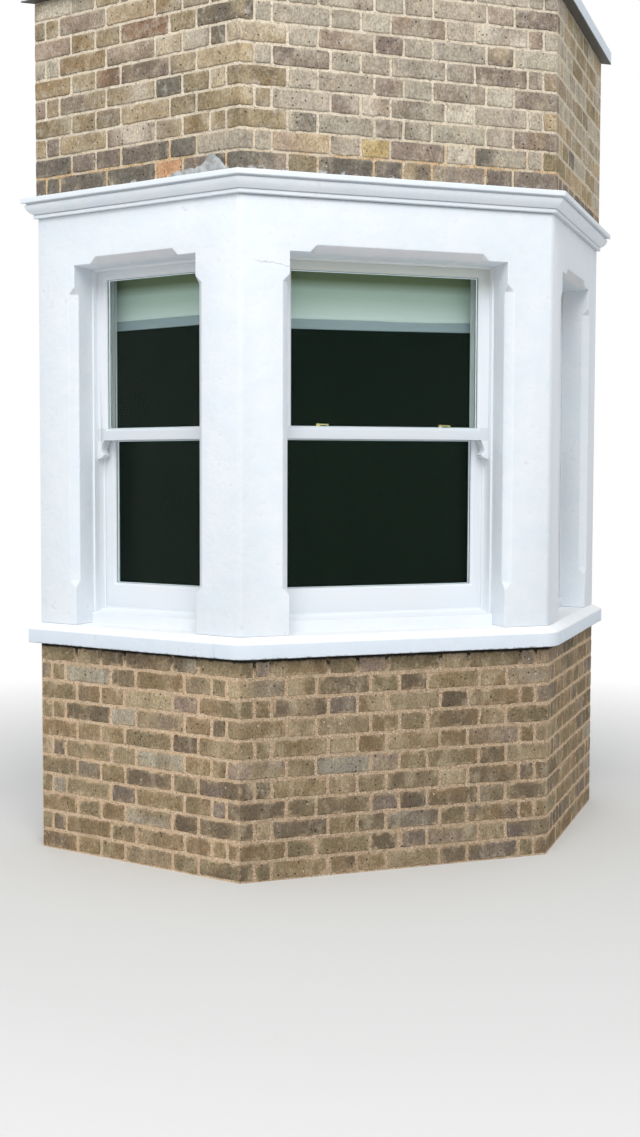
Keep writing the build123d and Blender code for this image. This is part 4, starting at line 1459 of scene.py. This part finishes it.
class BAY_OT_joinery(bpy.types.Operator):
    """Paints the box frames, the timber sills, the sashes and the window board"""

    bl_idname = "bay.joinery"
    bl_label = "Joinery"

    def execute(self, context):
        settings = context.scene.bay_paint
        paint = timber_paint_material("frame_paint", settings.frame, 0.4, 0.0)
        sash_paint = timber_paint_material("sash_paint", settings.timber, 0.85, 0.6)
        for name, side in FACES.items():
            for part in ("box_frame", "timber_sill", "top_sash", "bottom_sash"):
                chosen = sash_paint if part.endswith("sash") else paint
                node = f"{part}_{name}"
                standing_piece(
                    f"painted_{node}", merged_node(node), chosen,
                    settings.timber_soft, [node],
                )
            glazing = context.scene.bay_glazing
            reach = glazing.left_stop_width if side == LEFT else glazing.stop_width
            soften(inner_stops(name, side, reach, paint), settings.timber_soft)
        standing_piece(
            "painted_window_board", merged_node("window_board"), paint,
            2 * settings.timber_soft, ["window_board"],
        )
        return {"FINISHED"}


# Glazing
# Half the depth of the bar and its seal, the gap between them, and how far in they start
SPACER_HALF = 3.5 * MM
SPACER_GAP = 0.05 * MM
SPACER_START = 0.5 * MM
# The grids of a fastener: points round its foot plate, and along and round its lever
FOOT_POINTS = 40
LEVER_GRID = (14, 16)


def ring(middle, side, half_width, half_height, section):
    """A section of (inset, depth) points carried round a rectangle in a window's plane. At a
    corner the inset moves both ways, which mitres it."""
    corners = np.array(((-1, -1), (1, -1), (1, 1), (-1, 1)), float)
    inset, depth = section[:, 0], section[:, 1]
    across = corners[:, 0, None] * (half_width - inset)
    upward = corners[:, 1, None] * (half_height - inset)
    points = middle + across[..., None] * rightward(side) + upward[..., None] * UP
    points = points - depth[None, :, None] * outward(side)
    count = len(section)
    return points, grid_faces(5, count, closed=True) % (4 * count)


def fastener_places():
    """The middle of each fastener's foot, from the node's points on either side of the window."""
    points = frame_points("sash_fasteners")
    low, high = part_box("sash_fasteners")
    middle = (low.x + high.x) / 2
    places = []
    for half in (points[points[:, 0] < middle], points[points[:, 0] > middle]):
        if len(half):
            places.append((half.min(axis=0), half.max(axis=0)))
    return places


def turned(profile, middle, steps=24):
    """A profile of (radius, height) turned round an upright axis."""
    turn = np.linspace(0, 2 * np.pi, steps, endpoint=False)
    around = np.stack((np.cos(turn), np.sin(turn)), axis=-1)
    points = np.empty((len(profile), steps, 3))
    points[..., :2] = profile[:, None, :1] * around[None] + middle[:2]
    points[..., 2] = profile[:, None, 1] + middle[2]
    return points.reshape(-1, 3), shell_faces(len(profile), steps)


def brass_fastener(name, shell, material):
    """A fitch fastener: a foot plate with rounded ends, a turned drum with a domed head, and a
    lever whose half width narrows along it and ends in a ball."""
    low, high = shell
    middle = (low + high) / 2
    length, depth = (high - low)[:2]
    turn = np.linspace(0, 2 * np.pi, FOOT_POINTS, endpoint=False)
    round_end = depth / 2
    to_end = np.sign(np.cos(turn)) * (length / 2 - round_end)
    foot = np.stack((np.cos(turn) * round_end + to_end, np.sin(turn) * round_end), axis=-1)
    layers = ((1.0, low[2]), (1.0, low[2] + 2.4 * MM), (0.93, low[2] + 3 * MM))
    plate = [
        np.column_stack((foot * share + middle[:2], np.full(FOOT_POINTS, level)))
        for share, level in layers
    ]
    parts = [(np.array(plate), shell_faces(len(layers), FOOT_POINTS))]
    base = np.array((middle[0] - 0.2 * length, middle[1], low[2]))
    post = (
        (7.6, 2), (7.6, 4), (6.8, 5), (6.8, 11), (7.4, 11.6), (7.4, 13), (6, 14), (3, 14.7),
        (0.4, 14.9),
    )
    parts.append(turned(np.array(post) * MM, base))
    share = np.linspace(0, 1, LEVER_GRID[0])
    around = np.linspace(0, 2 * np.pi, LEVER_GRID[1], endpoint=False)
    along = base[0] + share * 0.58 * length
    radius = (4.2 - 1.2 * share) * MM
    rise = (9 + 1.5 * np.sin(share * np.pi))[:, None] * MM
    lever = np.stack(
        (
            np.broadcast_to(along[:, None], LEVER_GRID),
            base[1] + radius[:, None] * 1.3 * np.cos(around),
            low[2] + rise + radius[:, None] * 0.8 * np.sin(around),
        ),
        axis=-1,
    )
    parts.append((lever, shell_faces(*LEVER_GRID)))
    arc = np.linspace(-np.pi / 2, np.pi / 2, 12)
    ball = np.stack((np.maximum(np.cos(arc), 0.03), np.sin(arc)), axis=-1) * 4.6 * MM
    parts.append(turned(ball, np.array((along[-1], base[1], low[2] + 9 * MM)), 20))
    piece = closed_piece(name, *joined_parts(parts), [material], "brass", 40)
    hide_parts("sash_fasteners")
    return piece


class BAY_OT_glazing(bpy.types.Operator):
    """Glazes the sashes with sealed units and fits the brass fasteners"""

    bl_idname = "bay.glazing"
    bl_label = "Glazing"

    def execute(self, context):
        settings = context.scene.bay_glazing
        glass = glass_material(settings.tint)
        bar = spacer_material(settings.spacer)
        seal = seal_material(settings.seal)
        brass = brass_material(settings.brass)
        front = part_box("top_glass_front")
        thickness = front[1].y - front[0].y
        for name, side in FACES.items():
            for part in ("top_glass", "bottom_glass"):
                node = frame["nodes"][f"{part}_{name}"]
                node.data.materials.clear()
                node.data.materials.append(glass)
                middle, width, height = slab(f"{part}_{name}", side, thickness)
                strips, start = [], SPACER_START
                for strip in (settings.seal_width, settings.spacer_width):
                    end, deep = start + strip, SPACER_HALF
                    section = np.array(((start, -deep), (end, -deep), (end, deep), (start, deep)))
                    strips.append(ring(middle, side, width / 2, height / 2, section))
                    start = end + SPACER_GAP
                points, faces = joined_parts(strips)
                piece = closed_piece(f"{part}_spacer_{name}", points, faces, [seal, bar], "glass")
                indices = np.repeat((0, 1), len(faces) // 2).astype(np.int32)
                piece.data.polygons.foreach_set("material_index", indices)
        for index, shell in enumerate(fastener_places()):
            brass_fastener(f"brass_fastener_{index + 1}", shell, brass)
        return {"FINISHED"}


# Blinds
HEM_HEIGHT = 39 * MM
SAG = 1.5 * MM
# The grids of a blind: along and round its roll, down and across its cloth, along its hem
ROLL_GRID = (9, 28)
CLOTH_GRID = (24, 60)
HEM_STEPS = 30


def blind_sag(across, half, tilt):
    """How far a blind's cloth and hem hang down across its width: a sag as a cosine from end
    to end, less the tilt that lifts the right end."""
    return SAG * np.cos(across / half * np.pi / 2) - tilt * (across / half + 1) / 2


def blind_parts(name, side, settings, materials):
    """A roller blind: a roll of cloth under the head, the hanging cloth with a slight wave,
    and a hem bar. The wave grows from the roll down as ripple * sin(across) * share."""
    cloth_material, hem_material = materials
    low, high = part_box(f"blind_{name}")
    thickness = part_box("blind_front")[1].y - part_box("blind_front")[0].y
    middle, width, _ = slab(f"blind_{name}", side, thickness)
    right, look = rightward(side), outward(side)
    foot = low.z + settings.lift + (settings.left_lift if side == LEFT else 0)
    roll_radius = thickness / 2 - 0.5 * MM
    roll_middle = high.z - roll_radius - 1 * MM
    half = width / 2 - 2 * MM
    turn = np.linspace(0, 2 * np.pi, ROLL_GRID[1], endpoint=False)
    along = np.linspace(-half, half, ROLL_GRID[0])
    centre = np.array((middle[0], middle[1], 0.0))
    roll = (
        centre
        + along[:, None, None] * right
        + roll_radius * np.cos(turn)[None, :, None] * look
        + (roll_middle + roll_radius * np.sin(turn))[None, :, None] * UP
    )
    roll_piece = closed_piece(
        f"blind_roll_{name}", roll, shell_faces(*ROLL_GRID), [cloth_material], "blind_fabric", 50
    )
    drop = np.linspace(0, 1, CLOTH_GRID[0])
    across = np.linspace(-half, half, CLOTH_GRID[1])
    top, bottom = roll_middle, foot + HEM_HEIGHT - 2 * MM
    wave = settings.ripple * np.sin(across * 9 + side)[None, :] * drop[:, None] ** 1.5
    sag = blind_sag(across, half, settings.tilt)[None, :] * drop[:, None]
    cloth = (
        centre
        + across[None, :, None] * right
        + (top + (bottom - top) * drop[:, None] - sag)[..., None] * UP
        + (wave + 2 * MM)[..., None] * look
    )
    faces = grid_faces(*CLOTH_GRID)[:, ::-1]
    cloth_piece = new_piece(f"blind_cloth_{name}", cloth, faces, [cloth_material], "blind_fabric")
    solid = cloth_piece.modifiers.new("thickness", "SOLIDIFY")
    solid.thickness = 0.7 * MM
    solid.offset = 0
    under, over = foot + 1 * MM, foot + HEM_HEIGHT
    hem = rounded(
        ((-4 * MM, under), (4 * MM, under), (4 * MM, over), (-4 * MM, over)), [3 * MM] * 4
    )
    ends = np.linspace(-half, half, HEM_STEPS)
    hem_sag = blind_sag(ends, half, settings.tilt)
    bar = (
        centre
        + ends[:, None, None] * right
        + hem[None, :, :1] * look
        + (hem[None, :, 1] - hem_sag[:, None] + 0.5 * MM)[..., None] * UP
    )
    faces = shell_faces(HEM_STEPS, len(hem))
    hem_piece = closed_piece(
        f"blind_hem_{name}", bar, faces, [hem_material], "blind_fabric", 50
    )
    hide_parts(f"blind_{name}")


class BAY_OT_blinds(bpy.types.Operator):
    """Hangs a roller blind inside each window"""

    bl_idname = "bay.blinds"
    bl_label = "Blinds"

    def execute(self, context):
        settings = context.scene.bay_blinds
        shade = OPENING_TOP - 95 * MM
        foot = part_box("blind_front")[0].z + HEM_HEIGHT
        cloth = blind_material(
            "blind_cloth", settings.fabric, settings.lit_fabric, foot, settings.roll_shade,
            shade, shade + 40 * MM,
        )
        hem = blind_material("blind_hem", settings.hem, settings.hem, 0, settings.hem, TOP, TOP + 1)
        for name, side in FACES.items():
            blind_parts(name, side, settings, (cloth, hem))
        return {"FINISHED"}


# Studio
def stage_plane(name, points, material):
    """A four-cornered sheet of the stage."""
    mesh = bpy.data.meshes.new(name)
    mesh.from_pydata([tuple(point) for point in points], [], [(0, 1, 2, 3)])
    mesh.materials.append(material)
    sheet = linked(name, mesh)
    return sheet


def floor_material(plain):
    """A pale floor that keeps the shadow, and turns to plain white away from the bay."""
    shader = Shader("studio_floor")
    shader.main.inputs["Base Color"].default_value = (*plain, 1)
    shader.set(Roughness=0.9)
    distance = shader.add("ShaderNodeVectorMath", operation="LENGTH")
    shader.join(shader.place, distance.inputs[0])
    far = shader.between(distance.outputs["Value"], 1.9, 4.6)
    path = shader.add("ShaderNodeLightPath")
    seen = shader.maths("MAXIMUM", path.outputs["Is Camera Ray"], path.outputs["Is Glossy Ray"])
    seen = shader.maths("MAXIMUM", seen, path.outputs["Is Transmission Ray"])
    return shader.finish_mixed(shader.product(far, seen), shader.add("ShaderNodeEmission"))


def dark_room_material():
    """A dark sheet of painted shade that stands for the unlit room behind the bay. It is there for
    rays that come through the glass only, so that the inside is lit and seen when the bay is
    looked at from behind or above."""
    shader = Shader("dark_room_shade")
    shader.main.inputs["Base Color"].default_value = (*srgb(14, 19, 15), 1)
    shader.set(Roughness=1.0, Specular_IOR_Level=0.0)
    passed = shader.add("ShaderNodeLightPath").outputs["Transmission Depth"]
    share = shader.maths("LESS_THAN", passed, 0.5)
    return shader.finish_mixed(share, shader.add("ShaderNodeBsdfTransparent"))


def studio_world(strength):
    """Even light from all round. The camera, gloss and glass see plain white."""
    world = bpy.data.worlds.new("studio")
    world.use_nodes = True
    tree = world.node_tree
    light = tree.nodes["Background"]
    light.inputs["Color"].default_value = (0.96, 0.98, 1.0, 1)
    light.inputs["Strength"].default_value = strength
    seen = tree.nodes.new("ShaderNodeBackground")
    seen.inputs["Color"].default_value = (1, 1, 1, 1)
    path = tree.nodes.new("ShaderNodeLightPath")
    most = tree.nodes.new("ShaderNodeMath")
    most.operation = "MAXIMUM"
    tree.links.new(path.outputs["Is Camera Ray"], most.inputs[0])
    any_seen = tree.nodes.new("ShaderNodeMath")
    any_seen.operation = "MAXIMUM"
    tree.links.new(path.outputs["Is Glossy Ray"], most.inputs[1])
    tree.links.new(most.outputs[0], any_seen.inputs[0])
    tree.links.new(path.outputs["Is Transmission Ray"], any_seen.inputs[1])
    mixed = tree.nodes.new("ShaderNodeMixShader")
    tree.links.new(any_seen.outputs[0], mixed.inputs[0])
    tree.links.new(light.outputs[0], mixed.inputs[1])
    tree.links.new(seen.outputs[0], mixed.inputs[2])
    tree.links.new(mixed.outputs[0], tree.nodes["World Output"].inputs["Surface"])
    bpy.context.scene.world = world


def soft_lamp(name, place, aim, size, power):
    """A large square lamp that looks at a point."""
    data = bpy.data.lights.new(name, "AREA")
    data.shape = "SQUARE"
    data.size = size
    data.energy = power
    lamp = linked(name, data)
    lamp.location = place
    lamp.rotation_euler = (Vector(aim) - Vector(place)).to_track_quat("-Z", "Y").to_euler()
    return lamp


PHOTO_WIDTH, PHOTO_HEIGHT = 640, 1137
PHOTO_FOCAL = 1279.55
PHOTO_AXIS = (247.14, 539.80)
CAMERA_X = -1.9568
CAMERA_FROM_FRONT = 4.4653
CAMERA_HEIGHT = 1.5157
CAMERA_TURN = 0.2936
CAMERA_TILT = -0.0519


def photo_camera():
    """The camera that the photograph was taken with, found from the edges of the bay."""
    data = bpy.data.cameras.new("garden_view")
    data.sensor_width = 36
    data.lens = PHOTO_FOCAL * data.sensor_width / PHOTO_HEIGHT
    data.shift_x = (PHOTO_WIDTH / 2 - PHOTO_AXIS[0]) / PHOTO_HEIGHT
    data.shift_y = (PHOTO_AXIS[1] - PHOTO_HEIGHT / 2) / PHOTO_HEIGHT
    camera = linked("garden_view", data)
    camera.location = (CAMERA_X, FRONT_Y - CAMERA_FROM_FRONT, CAMERA_HEIGHT)
    camera.rotation_euler = (radians(90) + CAMERA_TILT, 0, -CAMERA_TURN)
    bpy.context.scene.camera = camera


class BAY_OT_stage(bpy.types.Operator):
    """Sets up the floor, the light, the dark sheet of painted shade behind the windows and the
    camera
    """

    bl_idname = "bay.stage"
    bl_label = "Stage"

    def execute(self, context):
        settings = context.scene.bay_stage
        reach = 30.0
        corners = ((-reach, -reach, 0), (reach, -reach, 0), (reach, reach, 0), (-reach, reach, 0))
        stage_plane("studio_floor", corners, floor_material(settings.floor))
        edge = inner_plan(RIGHT, BACK_Y)[0]
        behind = BACK_Y - 1 * MM
        room = ((-edge, behind, 0), (edge, behind, 0), (edge, behind, TOP), (-edge, behind, TOP))
        # a dark sheet of painted shade for the unlit room behind the bay
        stage_plane("dark_room_shade", room, dark_room_material())
        studio_world(settings.sky)
        soft_lamp("high_lamp", (-2.6, -6.2, 8.2), (0, 0, 1.6), 6.0, settings.lamp)
        photo_camera()
        context.scene.view_settings.view_transform = "Standard"
        return {"FINISHED"}


OPERATORS = (
    BAY_OT_stage, BAY_OT_brickwork, BAY_OT_stonework, BAY_OT_joinery, BAY_OT_glazing,
    BAY_OT_blinds,
)
SETTINGS = {
    "bay_bricks": BrickSettings,
    "bay_paint": PaintSettings,
    "bay_glazing": GlazingSettings,
    "bay_blinds": BlindSettings,
    "bay_stage": StageSettings,
}


class BAY_PT_panel(bpy.types.Panel):
    """Lists the pieces of the bay and their settings"""

    bl_label = "Sash window bay"
    bl_idname = "BAY_PT_panel"
    bl_space_type = "VIEW_3D"
    bl_region_type = "UI"
    bl_category = "Bay"

    def draw(self, context):
        for operator in OPERATORS:
            self.layout.operator(operator.bl_idname)
        for key, settings in SETTINGS.items():
            box = self.layout.box()
            for field in settings.__annotations__:
                box.prop(getattr(context.scene, key), field)


def register():
    for kind in (*SETTINGS.values(), *OPERATORS, BAY_PT_panel):
        bpy.utils.register_class(kind)
    for key, kind in SETTINGS.items():
        setattr(bpy.types.Scene, key, PointerProperty(type=kind))


def unregister():
    for key in SETTINGS:
        delattr(bpy.types.Scene, key)
    for kind in (BAY_PT_panel, *OPERATORS[::-1], *reversed(SETTINGS.values())):
        bpy.utils.unregister_class(kind)


def main():
    """Dresses the bay, in order."""
    register()
    bpy.ops.bay.stage()
    bpy.ops.bay.brickwork()
    bpy.ops.bay.stonework()
    bpy.ops.bay.joinery()
    bpy.ops.bay.glazing()
    bpy.ops.bay.blinds()


if __name__ == "__main__":
    main()
